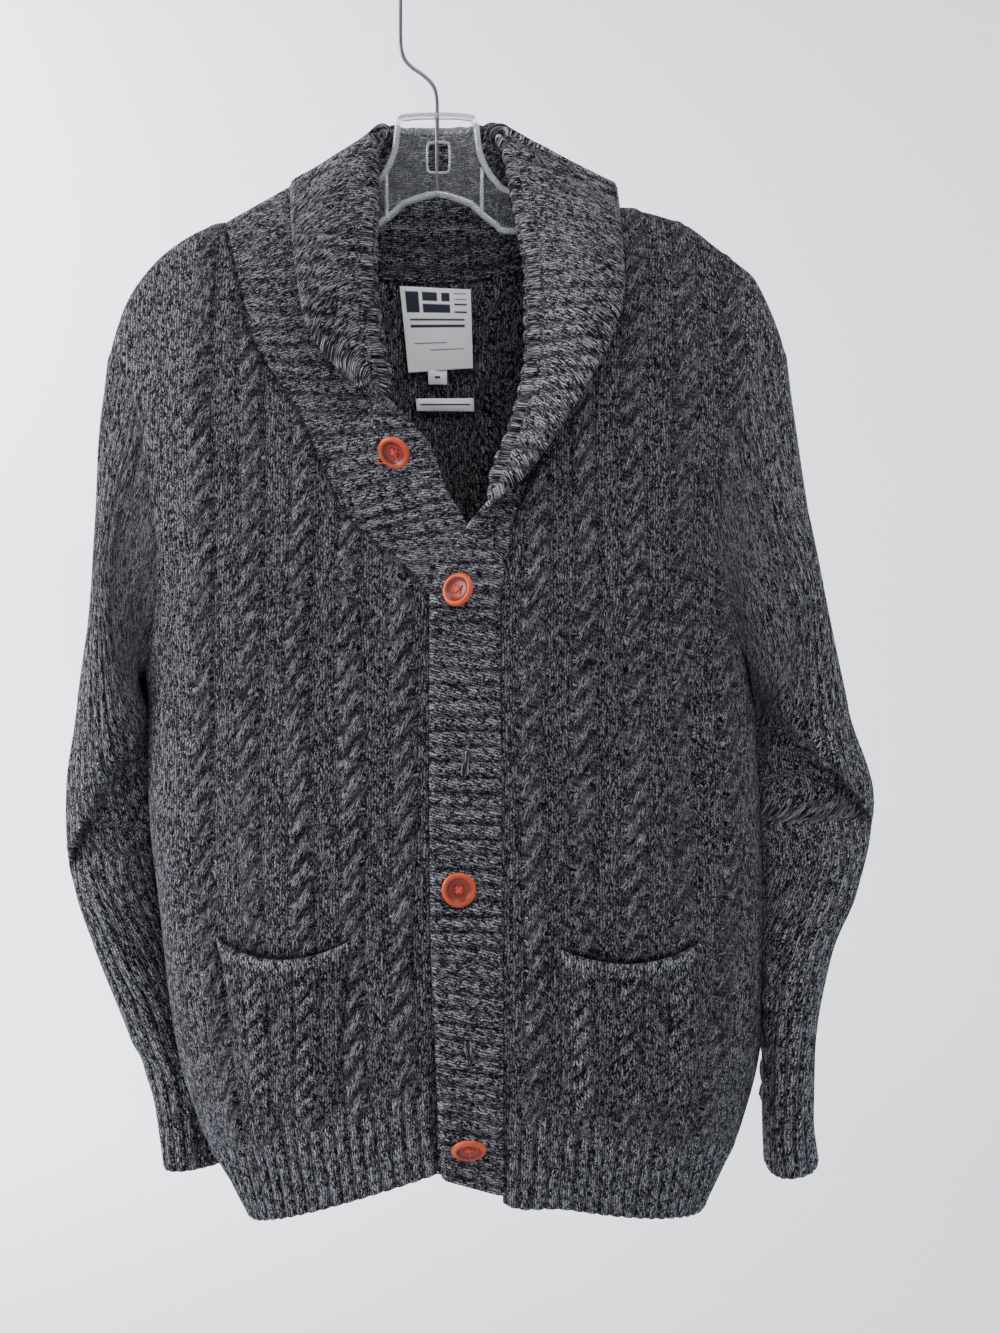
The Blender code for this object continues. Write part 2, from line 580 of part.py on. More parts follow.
def make_button(name, x, z, side, material):
    table = COLLAR_LEFT if side == "left" else COLLAR_RIGHT
    stations = np.linspace(0, 0.9, 60)
    rows = collar_rows(table, stations)
    normals = grid_normals(rows)
    normals *= np.where(normals[..., 1:2] > 0, -1, 1)
    gap = np.linalg.norm(rows[..., [0, 2]] - np.array([x, z]), axis=-1)
    i, j = np.unravel_index(np.argmin(gap), gap.shape)
    out = unit(normals[max(i - 2, 0):i + 3, max(j - 1, 0):j + 2].reshape(-1, 3).mean(axis=0))
    surface = np.array([x, rows[i, j, 1], z])
    r, t = BUTTON_RADIUS, BUTTON_THICK
    profile = ((0, 0), (r - 2.4, 0), (r - 0.6, 0.7), (r, 1.9), (r - 0.2, t - 1.0), (r - 1.2, t), (r - 2.4, t - 0.2),
               (r - 3.8, t - 1.5), (r - 6.5, t - 1.9), (0, t - 2.0))
    bm = lathe([(a * MM, b * MM) for a, b in profile], 28)
    centre = surface + out * 1.6
    placed(bm, centre, out)
    button = add_object(name, bm, material)
    for i, (dx, dy) in enumerate(((1, 1), (1, -1), (-1, 1), (-1, -1))):
        hole = bmesh.new()
        bmesh.ops.create_cone(hole, cap_ends=True, segments=12, radius1=HOLE_RADIUS * MM,
                              radius2=HOLE_RADIUS * MM, depth=4 * t * MM)
        for vert in hole.verts:
            vert.co.x += dx * HOLE_SPREAD * MM
            vert.co.y += dy * HOLE_SPREAD * MM
        placed(hole, centre, out)
        cutter = add_object(f"{name}_hole_{i}", hole, material)
        cutter.hide_render = True
        cutter.display_type = "WIRE"
        cut = button.modifiers.new(f"hole_{i}", "BOOLEAN")
        cut.object = cutter
        cut.operation = "DIFFERENCE"
        cut.solver = "EXACT"


def make_hanger(material):
    bm = bmesh.new()
    rings = []
    for x, top, bottom, half in HANGER[1:]:
        bevel = min(2.0, half * 0.5)
        ring = ((-half, bottom + bevel), (-half, top - bevel), (-half + bevel, top), (half - bevel, top),
                (half, top - bevel), (half, bottom + bevel), (half - bevel, bottom), (-half + bevel, bottom))
        rings.append([bm.verts.new((x * MM, y * MM, z * MM)) for y, z in ring])
    for a, b in zip(rings, rings[1:]):
        for i in range(8):
            k = (i + 1) % 8
            bm.faces.new((a[i], a[k], b[k], b[i]))
    bm.faces.new(rings[0])
    bm.faces.new(rings[-1])
    bmesh.ops.recalc_face_normals(bm, faces=bm.faces)
    hanger = add_object("hanger", bm, material)
    left, right, bottom, top = WINDOW
    cutters = []
    window = bmesh.new()
    bmesh.ops.create_cube(window, size=1)
    for vert in window.verts:
        vert.co.x = ((left + right) / 2 + vert.co.x * (right - left)) * MM
        vert.co.y = vert.co.y * 30 * MM
        vert.co.z = ((bottom + top) / 2 + vert.co.z * (top - bottom)) * MM
    cutters.append(("hanger_window", window))
    bore = bmesh.new()
    radius = (WIRE_RADIUS + WIRE_CLEARANCE) * MM
    bmesh.ops.create_cone(bore, cap_ends=True, segments=20, radius1=radius, radius2=radius, depth=0.1)
    for vert in bore.verts:
        vert.co.z -= 0.150
    cutters.append(("hanger_bore", bore))
    for name, cutter in cutters:
        tool = add_object(name, cutter, material)
        tool.hide_render = True
        tool.display_type = "WIRE"
        cut = hanger.modifiers.new(name, "BOOLEAN")
        cut.object = tool
        cut.operation = "DIFFERENCE"
        cut.solver = "EXACT"


def hook_path():
    """Up through the hanger's neck, out to one side, up and over the rail."""
    points = [(0.0, -181.0), (0.0, -150.0), (0.0, -120.0), (-0.5, -106.0), (-3.0, -97.0), (-10.0, -89.5), (-18.0, -84.0),
              (-24.0, -77.5), (-26.6, -69.0), (-27.0, -58.0), (-27.0, -42.0)]
    centre = WIRE_RADIUS - HOOK_RADIUS
    for angle in np.linspace(pi, -0.08 * pi, 17):
        points.append((HOOK_RADIUS * cos(angle), centre + HOOK_RADIUS * sin(angle)))
    return [np.array([x, 0.0, z]) for x, z in points]


def make_hook(material):
    path = hook_path()
    bm = bmesh.new()
    rings = []
    for i, point in enumerate(path):
        way = unit(path[min(i + 1, len(path) - 1)] - path[max(i - 1, 0)])
        side = np.cross(way, np.array([0, 1.0, 0]))
        ring = []
        for k in range(12):
            angle = 2 * pi * k / 12
            place = point + (side * cos(angle) + np.array([0, 1.0, 0]) * sin(angle)) * WIRE_RADIUS
            ring.append(bm.verts.new(place * MM))
        rings.append(ring)
    for a, b in zip(rings, rings[1:]):
        for i in range(12):
            bm.faces.new((a[i], a[(i + 1) % 12], b[(i + 1) % 12], b[i]))
    bm.faces.new(rings[0])
    bm.faces.new(rings[-1])
    bmesh.ops.recalc_face_normals(bm, faces=bm.faces)
    add_object("hook", bm, material)


def build():
    for obj in list(bpy.data.objects):
        bpy.data.objects.remove(obj)
    materials = {slot: make_material(slot, slot) for slot in COLOURS}
    low = [0, 0.1, 0.2, 0.3, 0.42, 0.54]
    ups = np.array(low + [0.57, 0.61, 0.66, 0.72, 0.78, 0.84, 0.9, 0.94, 0.97, 0.988, 0.997, 1.0])
    fine = np.linspace(0, 1, 10)
    fronts = {}
    for name, table in (("front_left", FRONT_LEFT), ("front_right", FRONT_RIGHT)):
        fronts[name] = np.array([front_point(table, fine, np.full(len(fine), up)) for up in ups])
    tops = list(fronts["front_left"][-1, :, 0]) + list(fronts["front_right"][-1, :, 0])
    for shoulder in (NECK[1][0], NECK[-1][0]):
        tops += [shoulder + (NECK_MIDDLE - shoulder) * s for s in NECK_STATIONS]
    columns = across_at(np.array(sorted(set(round(float(x), 6) for x in tops))))
    back = np.array([back_point(columns, np.full(len(columns), up)) for up in ups])
    top = ups[ups >= UNDERARM]
    spots = (1 - top[::-1]) / (1 - UNDERARM)
    downs = np.array([0, 0.05, 0.12, 0.2, 0.28, 0.36, 0.44, 0.5, 0.55, 0.6, 0.66, 0.74, 0.82, 0.9, 0.95, 1.0])
    sleeves = {
        "sleeve_left": sleeve_rows(SLEEVE_LEFT, FRONT_LEFT, downs, spots),
        "sleeve_right": sleeve_rows(SLEEVE_RIGHT, FRONT_RIGHT, downs, spots),
    }
    stations = np.concatenate([ups, 1 + np.array(NECK_STATIONS)])
    collars = {
        "collar_band_left": collar_rows(COLLAR_LEFT, stations),
        "collar_band_right": collar_rows(COLLAR_RIGHT, stations),
    }
    every = slice(None)
    sheets, borders = {}, ((0, every), (-1, every), (every, 0), (every, -1))
    for group in (fronts, {"back": back}, sleeves, collars):
        for name, points in group.items():
            wrap = name.startswith("sleeve")
            normals = grid_normals(points, wrap)
            if wrap:
                middle = points.mean(axis=1, keepdims=True)
                flip = (normals * (points - middle)).sum() < 0
            elif name == "back":
                flip = normals[..., 1].mean() < 0
            else:
                flip = normals[: len(low), :, 1].mean() > 0
            normals = -normals if flip else normals
            edges = borders[:1] if wrap else (borders[:3] if name.startswith("collar") else borders)
            sheets[name] = (points, normals, edges)
    shared_normals(list(sheets.values()))
    for name, (points, normals, _) in sheets.items():
        sheet_object(name, points, normals, CLOTH, materials["knit"], name.startswith("sleeve"))
    for name, (a, b, c, d, sag, gape) in POCKETS.items():
        panel = FRONT_LEFT if name.endswith("left") else FRONT_RIGHT
        patch(name, (a, b, c, d), sag, gape, panel, CLOTH + 0.6, CLOTH, materials["knit"])
    label("label_main", -29, 26, -300, -240, 0.8, 1.3, materials["label"])
    label("label_size", -8, 7, -312, -301, 0.6, 1.3, materials["label"])
    label("label_strip", -17, 27, -332, -322, 0.6, 1.3, materials["label"])
    for name, (x, z, side) in BUTTONS.items():
        make_button(name, x, z, side, materials["button"])
    make_hanger(materials["clear_plastic"])
    make_hook(materials["wire"])


build()
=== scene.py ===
import bpy
import bmesh
import numpy as np
from math import pi, cos, sin
from mathutils import Euler, Matrix, Vector


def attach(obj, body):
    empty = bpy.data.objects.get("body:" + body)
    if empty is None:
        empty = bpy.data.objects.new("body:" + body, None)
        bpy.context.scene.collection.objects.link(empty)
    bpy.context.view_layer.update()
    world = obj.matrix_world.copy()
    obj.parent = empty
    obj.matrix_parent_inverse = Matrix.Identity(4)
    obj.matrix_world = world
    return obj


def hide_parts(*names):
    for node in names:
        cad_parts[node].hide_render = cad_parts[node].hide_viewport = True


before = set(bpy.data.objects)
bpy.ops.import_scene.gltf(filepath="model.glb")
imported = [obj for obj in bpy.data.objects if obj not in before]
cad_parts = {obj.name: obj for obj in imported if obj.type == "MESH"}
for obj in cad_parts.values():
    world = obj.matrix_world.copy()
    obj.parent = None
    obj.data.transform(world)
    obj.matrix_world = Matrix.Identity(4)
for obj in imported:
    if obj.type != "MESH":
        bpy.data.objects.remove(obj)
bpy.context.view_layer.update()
print("frame loaded")

mm = 0.001   # tables and cutting sizes below are in millimetres

cameraSet = {
    "place": (0.0463, -1.45, -0.524), "sensor": 36.0,
    "viewHigh": 0.9798,     # frame height at the hanger's plane, in metres
}


def makeCamera():
    data = bpy.data.cameras.new("camera")
    data.sensor_width = cameraSet["sensor"]
    data.lens = cameraSet["sensor"] * abs(cameraSet["place"][1]) / cameraSet["viewHigh"]
    camera = bpy.data.objects.new("camera", data)
    camera.location = cameraSet["place"]
    camera.rotation_euler = (pi / 2, 0, 0)
    bpy.context.scene.collection.objects.link(camera)
    bpy.context.scene.camera = camera


makeCamera()

# How the garment is cut and how it hangs.
cut = {
    "cloth": 3.4,           # thickness of the knitted wall
    "seamLap": 0.5,         # each piece runs this far past its seam line, into its neighbour
    "ridge": 10.0,          # half thickness of the shoulder over the hanger's arm
    "crownDrop": 125.0,     # depth below the shoulder over which the body fills out
    "underarm": 0.54,       # where the armhole starts, from 0 at the hem to 1 at the shoulder
    "backHemRise": 20.0,
    "neckMiddle": -3.0,     # where the two collar halves meet at the back
    "bandLift": 4.2,        # the top band stands this far out over the under band
    "foldGap": 5.4,         # clear space inside the turned collar
    "overhangStep": 17.0,
    "overhangFade": 80.0,
}

# The shoulder line seen from the front, from one armpit side to the other.
shoulderLine = (
    ("x", "z"),
    (-262, -400), (-250, -335), (-239, -292), (-227, -257), (-218, -242), (-200, -222), (-174, -205),
    (-155, -198), (-109, -181), (-71, -170), (-35, -161), (0, -156), (35, -159), (76, -170), (120, -185),
    (151, -191), (175, -198), (186, -203), (203, -216), (220, -229), (231, -238), (240, -254), (254, -290),
    (266, -335), (278, -400),
)

# Body sections from the hem up: its sides, how far it stands forward and back, and how square it is.
bodySections = (
    ("z", "left", "right", "front", "back", "square"),
    (-935, -130, 186, 74, 62, 2.1),
    (-900, -148, 202, 80, 66, 2.1),
    (-858, -171, 221, 84, 66, 2.2),
    (-790, -187, 236, 84, 64, 2.3),
    (-704, -198, 238, 82, 62, 2.4),
    (-617, -208, 234, 80, 60, 2.5),
    (-560, -208, 231, 78, 58, 2.6),
    (-530, -211, 227, 77, 57, 2.7),
    (-480, -222, 238, 76, 56, 2.8),
    (-400, -240, 256, 74, 54, 3.0),
    (-300, -262, 278, 70, 52, 3.4),
    (-150, -300, 320, 66, 50, 4.0),
)

# Left front (viewer's left): its outer edge is side seam, then armhole; its inner edge takes the band.
frontLeft = (
    ("up", "outX", "outZ", "inX", "inZ", "sag"),
    (0.00, -133, -926, 3, -876, 0),
    (0.10, -171, -858, 2, -826, 0),
    (0.20, -187, -790, 2, -768, 0),
    (0.30, -198, -704, 1, -691, 0),
    (0.42, -208, -617, 0, -611, 0),
    (0.50, -208, -560, 0, -548, 0),
    (0.54, -211, -530, -1, -513, 0),
    (0.57, -207, -517, -3, -479, 0),
    (0.61, -203, -500, -40, -436, 0),
    (0.66, -199, -472, -59, -420, 0),
    (0.72, -199, -438, -77, -386, 0),
    (0.78, -204, -404, -97, -342, 0),
    (0.84, -209, -370, -113, -319, 0),
    (0.90, -216, -338, -131, -288, 0),
    (0.95, -226, -314, -143, -242, 0),
    (1.00, -239, -292, -155, -198, 0),
)

frontRight = (
    ("up", "outX", "outZ", "inX", "inZ", "sag"),
    (0.00, 191, -921, 49, -890, -3),
    (0.10, 221, -858, 48, -833, -1),
    (0.20, 236, -790, 48, -768, 0),
    (0.30, 238, -704, 47, -691, 0),
    (0.42, 234, -617, 47, -611, 0),
    (0.50, 231, -560, 46, -548, 0),
    (0.54, 227, -530, 46, -513, 0),
    (0.57, 222, -517, 46, -478, 0),
    (0.61, 216, -500, 50, -450, 0),
    (0.66, 209, -471, 56, -422, 0),
    (0.72, 202, -438, 69, -386, 0),
    (0.78, 204, -404, 86, -351, 0),
    (0.84, 208, -370, 99, -323, 0),
    (0.90, 218, -338, 112, -288, 0),
    (0.95, 233, -312, 121, -245, 0),
    (1.00, 254, -290, 120, -185, 0),
)

# The back neck seam from shoulder to shoulder.
neckLine = (
    ("x", "z"),
    (-155, -198), (-130, -212), (-96, -225), (-51, -234), (0, -237), (50, -231), (91, -213), (109, -200),
    (120, -185),
)

# Collar and band, one row a station: 0 at the hem, 1 at the shoulder, 2 at the centre of the back.
# Roll is where the collar turns over, edge is its free edge, fold is 1 where it is turned over flat.
collarLeft = (
    ("at", "rollX", "rollY", "rollZ", "edgeX", "edgeY", "edgeZ", "fold", "bulge"),
    (0.00, 22, -78, -882, 41, -70, -884, 0.0, 0),
    (0.10, 22, -80, -828, 41, -80, -828, 0.0, 0),
    (0.30, 21, -80, -691, 40, -80, -691, 0.0, 0),
    (0.50, 20, -78, -548, 40, -78, -548, 0.0, 0),
    (0.57, 20, -72, -478, 38, -72, -474, 0.0, 0),
    (0.61, -5, -66, -432, 24, -66, -426, 0.0, 0),
    (0.66, -18, -63, -409, 10, -64, -401, 0.0, 0),
    (0.72, -34, -58, -371, -4, -60, -366, 0.0, 0),
    (0.78, -30, -54, -345, -22, -66, -347, 0.65, 0),
    (0.84, -32, -48, -320, -58, -68, -324, 1.0, 2),
    (0.90, -38, -42, -288, -90, -64, -283, 1.0, 4),
    (0.95, -43, -32, -235, -100, -52, -232, 1.0, 6),
    (1.00, -43, -4, -136, -106, -5, -174, 1.0, 0),
    (1.25, -35, 15, -124, -98, 38, -179, 1.0, 1),
    (1.60, -20, 25, -122, -60, 60, -206, 1.0, 4),
    (2.00, -3, 28, -121, -3, 64, -224, 1.0, 6),
)

collarRight = (
    ("at", "rollX", "rollY", "rollZ", "edgeX", "edgeY", "edgeZ", "fold", "bulge"),
    (0.00, 28, -80, -885, 6, -78, -878, 0.0, 0),
    (0.10, 25, -84, -828, 3, -84, -826, 0.0, 0),
    (0.30, 22, -84, -691, -2, -84, -691, 0.0, 0),
    (0.50, 22, -82, -548, -3, -82, -548, 0.0, 0),
    (0.57, 22, -78, -478, -3, -78, -478, 0.0, 0),
    (0.61, 30, -76, -450, 9, -76, -449, 0.0, 0),
    (0.66, 36, -72, -419, 30, -84, -420, 0.7, 0),
    (0.72, 41, -64, -390, 62, -84, -394, 1.0, 2),
    (0.78, 52, -58, -362, 86, -84, -363, 1.0, 4),
    (0.84, 60, -52, -334, 106, -80, -330, 1.0, 6),
    (0.90, 65, -44, -298, 124, -72, -296, 1.0, 8),
    (0.95, 65, -32, -246, 134, -58, -250, 1.0, 10),
    (1.00, 45, -4, -136, 131, -5, -176, 1.0, -1),
    (1.25, 35, 15, -124, 110, 38, -183, 1.0, -1),
    (1.60, 14, 25, -122, 60, 60, -206, 1.0, 4),
    (2.00, -3, 28, -121, -3, 64, -224, 1.0, 6),
)

# Sleeve sections from the armhole down: the two ends of the flattened tube and its half depth.
sleeveLeft = (
    ("down", "aX", "aY", "aZ", "bX", "bY", "bZ", "half"),
    (0.00, -239, 0, -292, -211, 0, -530, 46),
    (0.05, -242, 0, -318, -219, 2, -532, 46),
    (0.12, -246, 0, -352, -220, 4, -540, 46),
    (0.24, -248, 0, -412, -218, 7, -554, 45),
    (0.38, -253, 0, -480, -216, 11, -572, 42),
    (0.50, -262, 0, -548, -215, 18, -598, 38),
    (0.60, -268, -2, -613, -214, 30, -632, 34),
    (0.70, -265, 0, -668, -209, 48, -676, 30),
    (0.79, -246, 6, -728, -196, 66, -731, 27),
    (0.88, -219, 12, -797, -180, 74, -797, 24),
    (0.95, -203, 18, -848, -163, 82, -848, 22),
    (1.00, -198, 22, -901, -150, 86, -896, 21),
)

sleeveRight = (
    ("down", "aX", "aY", "aZ", "bX", "bY", "bZ", "half"),
    (0.00, 254, 0, -290, 227, 0, -530, 46),
    (0.05, 257, 0, -316, 234, 2, -532, 46),
    (0.12, 262, 0, -352, 236, 4, -540, 46),
    (0.24, 271, 0, -412, 237, 5, -554, 45),
    (0.38, 286, 2, -488, 238, 6, -570, 43),
    (0.50, 301, 3, -556, 240, 6, -594, 40),
    (0.60, 319, 3, -622, 241, 6, -628, 39),
    (0.70, 306, 4, -690, 243, 6, -684, 39),
    (0.79, 288, 4, -734, 243, 6, -730, 40),
    (0.88, 276, 5, -806, 242, 8, -800, 40),
    (0.95, 275, 9, -853, 243, 10, -854, 38),
    (1.00, 279, 12, -888, 245, 12, -895, 36),
)

# The cloth of each upper sleeve hangs over a slanting edge and steps back below it.
overhangLeft = (("x", "z"), (-211, -536), (-224, -575), (-241, -603), (-254, -630))
overhangRight = (("x", "z"), (224, -524), (240, -537), (255, -555), (273, -575), (284, -590))

# Patch pockets: mouth and foot corners, how far the mouth sags and how far it stands open.
pockets = {
    "pocket_left": ((-154, -715), (-56, -713), (-126, -838), (-66, -832), 14, 2.5),
    "pocket_right": ((87, -719), (190, -716), (88, -832), (184, -826), 13, 2.5),
}

# Hanger plate along X: its upper and its lower edge.
hangerPlate = (
    ("x", "top", "bottom"),
    (-216, -258, -268), (-209, -247, -263), (-196, -232, -249), (-174, -216, -235),
    (-150, -207, -227), (-109, -190, -212), (-80, -180, -204), (-50, -171, -206),
    (-44, -166, -202), (-37, -157, -197), (-31, -142, -192), (-28, -122, -189),
    (-22, -118, -185), (0, -117, -179), (22, -118, -185), (28, -122, -189),
    (31, -142, -192), (37, -157, -197), (44, -166, -202), (50, -171, -206),
    (80, -181, -206), (118, -196, -218), (150, -203, -223), (174, -209, -230),
    (198, -224, -243), (213, -238, -256), (221, -250, -262),
)
hangerWindow = (-7, 9, -161, -139)   # left, right, bottom and top of the opening in the hanger's neck

# Where the middle of each button is.
buttons = {
    "button_collar": (-27, -374),
    "button_upper": (18, -471),
    "button_lower": (18, -678),
    "button_hem": (25, -855),
}


def column(table, name):
    return np.array([row[table[0].index(name)] for row in table[1:]], float)


def smooth(table, key, name, at):
    # a named column read at one or many places, with no overshoot between rows
    x, y = column(table, key), column(table, name)
    step = np.diff(x)
    rise = np.diff(y) / step
    slope = np.zeros_like(y)
    same = rise[1:] * rise[:-1] > 0
    early, late = 2 * step[1:] + step[:-1], step[1:] + 2 * step[:-1]
    safeA, safeB = np.where(same, rise[:-1], 1), np.where(same, rise[1:], 1)
    slope[1:-1] = np.where(same, (early + late) / (early / safeA + late / safeB), 0)
    slope[0], slope[-1] = rise[0], rise[-1]
    at = np.clip(np.asarray(at, float), x[0], x[-1])
    i = np.clip(np.searchsorted(x, at, side="right") - 1, 0, len(step) - 1)
    t = (at - x[i]) / step[i]
    a = (1 + 2 * t) * (1 - t) ** 2 * y[i] + t * (1 - t) ** 2 * step[i] * slope[i]
    return a + t * t * (3 - 2 * t) * y[i + 1] - t * t * (1 - t) * step[i] * slope[i + 1]


def ramp(value, low, high):
    t = np.clip((value - low) / (high - low), 0, 1)
    return t * t * (3 - 2 * t)


def unit(vectors):
    length = np.linalg.norm(vectors, axis=-1, keepdims=True)
    return vectors / np.where(length < 1e-9, 1, length)


def shoulderHeight(x):
    return smooth(shoulderLine, "x", "z", x)


def bodyDepth(x, z, side):
    # how far the cloth stands out from the hanger's plane at (x, z), on the front or the back
    left, right = smooth(bodySections, "z", "left", z), smooth(bodySections, "z", "right", z)
    square = smooth(bodySections, "z", "square", z)
    across = np.clip(np.abs((x - (left + right) / 2) / ((right - left) / 2)), 0, 1)
    edge = np.clip(1 - across ** square, 0, 1) ** (1 / square)
    slope = (shoulderHeight(x + 1) - shoulderHeight(x - 1)) / 2
    below = np.clip(shoulderHeight(x) - z, 0, None) / np.sqrt(1 + slope ** 2)
    ridge = cut["ridge"] * np.sqrt(np.clip(1 - (1 - np.clip(below / cut["ridge"], 0, 1)) ** 2, 0, 1))
    full = smooth(bodySections, "z", side, z)
    return edge * (ridge + (full - cut["ridge"]) * (1 - np.exp(-below / cut["crownDrop"])))


def bandRise(table, x, z, up):
    # the right front rises beside the band, which lies over the other one
    if table is not frontRight:
        return 0.0 * x
    away = np.abs(x - smooth(table, "up", "inX", up))
    return cut["bandLift"] * np.exp(-((away / 55) ** 2)) * (1 - ramp(up, 0.75, 0.97))


def outerEdge(table, up):
    # the side seam up to the underarm, then the armhole
    z = smooth(table, "up", "outZ", up)
    side = smooth(bodySections, "z", "left" if table is frontLeft else "right", z)
    return np.where(up <= cut["underarm"], side, smooth(table, "up", "outX", up)), z


def frontPoint(table, across, up):
    # across runs from the side seam (0) to the band (1)
    outX, outZ = outerEdge(table, up)
    inX, inZ = smooth(table, "up", "inX", up), smooth(table, "up", "inZ", up)
    share = 1 - np.cos(across * pi / 2)
    x = outX + (inX - outX) * share
    z = outZ + (inZ - outZ) * share + smooth(table, "up", "sag", up) * np.sin(pi * share)
    topX = smooth(table, "up", "outX", 1) * (1 - share) + smooth(table, "up", "inX", 1) * share
    topZ = smooth(table, "up", "outZ", 1) * (1 - share) + smooth(table, "up", "inZ", 1) * share
    z = z + ramp(up, 0.8, 1) * (shoulderHeight(topX) - topZ)
    return np.stack([x, -bodyDepth(x, z, "front") - bandRise(table, x, z, up), z], axis=-1)


def backPoint(across, up):
    # across runs from the left side (0) to the right (1), its top edge along shoulders and neck
    share = (1 - np.cos(across * pi)) / 2
    leftX, leftZ = outerEdge(frontLeft, up)
    rightX, rightZ = outerEdge(frontRight, up)
    x = leftX + (rightX - leftX) * share
    z = leftZ + (rightZ - leftZ) * share + cut["backHemRise"] * np.sin(pi * share) * (1 - ramp(up, 0, 0.3))
    first, last = frontLeft[-1], frontRight[-1]
    topX = first[1] + (last[1] - first[1]) * share
    level = first[2] + (last[2] - first[2]) * share
    inside = (topX > neckLine[1][0]) & (topX < neckLine[-1][0])
    topZ = np.where(inside, smooth(neckLine, "x", "z", topX), shoulderHeight(topX))
    z = z + np.clip((up - cut["underarm"]) / (1 - cut["underarm"]), 0, 1) ** 1.5 * (topZ - level)
    return np.stack([x, bodyDepth(x, z, "back"), z], axis=-1)


def acrossAt(topX):
    # where a point of the back's top edge lies across it
    first, last = frontLeft[-1][1], frontRight[-1][1]
    return np.arccos(1 - 2 * (topX - first) / (last - first)) / pi


def collarSeam(table, at):
    # the line the collar is sewn to: the front's inner edge, then the back neck
    front = frontLeft if table is collarLeft else frontRight
    if at <= 1:
        return frontPoint(front, np.array(1.0), np.array(at))
    start = neckLine[1][0] if table is collarLeft else neckLine[-1][0]
    x = start + (cut["neckMiddle"] - start) * (at - 1)
    return backPoint(acrossAt(np.array(x)), np.array(1.0))


def collarRows(table, stations, leaf, turn):
    # points of the collar from its seam, over the roll, to its free edge
    rows = []
    front = frontLeft if table is collarLeft else frontRight
    for at in stations:
        read = {name: float(smooth(table, "at", name, at)) for name in table[0][1:]}
        seam = collarSeam(table, at)
        roll = np.array([read["rollX"], read["rollY"], read["rollZ"]])
        edge = np.array([read["edgeX"], read["edgeY"], read["edgeZ"]])
        fold = read["fold"]
        along = unit(roll - seam)
        out = edge - roll
        out = unit(out - along * np.dot(out, along))
        face = np.array([0, -1.0, 0]) if at < 0.97 else (np.array([0, 1.0, 0]) if at > 1.1 else out)
        if fold < 0.99 or at < 0.97:
            out = unit(face - along * np.dot(face, along))
        radius = cut["foldGap"] / 2
        bend = roll - along * (radius + cut["cloth"])
        points = []
        for i in range(leaf + 1):
            share = i / leaf
            points.append(seam + (bend - seam) * share)
        for i in range(1, turn + 1):
            angle = pi * i / turn
            points.append(bend + along * radius * sin(angle) + out * radius * (1 - cos(angle)))
        top = points[-1]
        for i in range(1, leaf + 1):
            share = i / leaf
            points.append(top + (edge - top) * share + out * read["bulge"] * sin(pi * share))
        folded = np.array(points)
        count = len(folded)
        share = np.linspace(0, 1, count)
        if at <= 1:
            flat = seam + (edge - seam) * share[:, None]
            rise = cut["bandLift"] if table is collarRight else 0.0
            rise = rise * (1 - float(ramp(at, 0.75, 0.97)))
            flat[:, 1] = -bodyDepth(flat[:, 0], flat[:, 2], "front") - rise
            flat[0] = seam
        else:
            flat = folded
        if at < 0.97 and fold > 0:
            under = bodyDepth(folded[leaf + turn:, 0], folded[leaf + turn:, 2], "front")
            clear = -(under + cut["foldGap"] + 2.0 + float(bandRise(front, seam[0] * np.ones(1), 0, at)[0]))
            folded[leaf + turn:, 1] = np.minimum(folded[leaf + turn:, 1], clear)
        rows.append(flat + (folded - flat) * fold)
    return np.array(rows)


def armhole(table, spots):
    # the armhole loop from the shoulder down the front to the underarm and up the back
    ups = 1 - (1 - cut["underarm"]) * spots
    front = np.array([frontPoint(table, np.array(0.0), np.array(up)) for up in ups])
    side = np.array(0.0 if table is frontLeft else 1.0)
    back = np.array([backPoint(side, np.array(up)) for up in ups])
    return front, back


def sleeveRing(table, down, angles):
    a = np.array([float(smooth(table, "down", "a" + k, down)) for k in "XYZ"])
    b = np.array([float(smooth(table, "down", "b" + k, down)) for k in "XYZ"])
    near, far = max(down - 0.03, 0), min(down + 0.03, 1)
    axis = np.zeros(3)
    for place, sign in ((near, -1), (far, 1)):
        axis += sign * np.array([float(smooth(table, "down", "a" + k, place)) for k in "XYZ"])
        axis += sign * np.array([float(smooth(table, "down", "b" + k, place)) for k in "XYZ"])
    depth = unit(np.cross(unit(b - a), unit(axis)))
    depth = depth * (-1 if depth[1] > 0 else 1)
    half = float(smooth(table, "down", "half", down))
    c, s = np.cos(angles), np.sin(angles)
    power = 0.86
    c, s = np.sign(c) * np.abs(c) ** power, np.sign(s) * np.abs(s) ** power
    return (a + b) / 2 + np.outer(c, (a - b) / 2) + np.outer(s, depth * half)


def overhang(table, points):
    # the step under the slanting edge of the sleeve's front
    line = overhangLeft if table is sleeveLeft else overhangRight
    xs, zs = column(line, "x"), column(line, "z")
    best = np.full(len(points), 1e9)
    for i in range(len(xs) - 1):
        start, way = np.array([xs[i], zs[i]]), np.array([xs[i + 1] - xs[i], zs[i + 1] - zs[i]])
        spot = np.clip(((points[:, [0, 2]] - start) @ way) / (way @ way), 0, 1)
        gap = points[:, [0, 2]] - start - spot[:, None] * way
        span = np.linalg.norm(gap, axis=1)
        sign = np.sign(gap[:, 0] * way[1] - gap[:, 1] * way[0])
        sign = sign * (-1 if table is sleeveRight else 1)
        best = np.where(span < np.abs(best), span * sign, best)
    below = np.clip(-best, 0, None)
    return cut["overhangStep"] * ramp(below, 0, 9) * (1 - ramp(below, 20, cut["overhangFade"]))


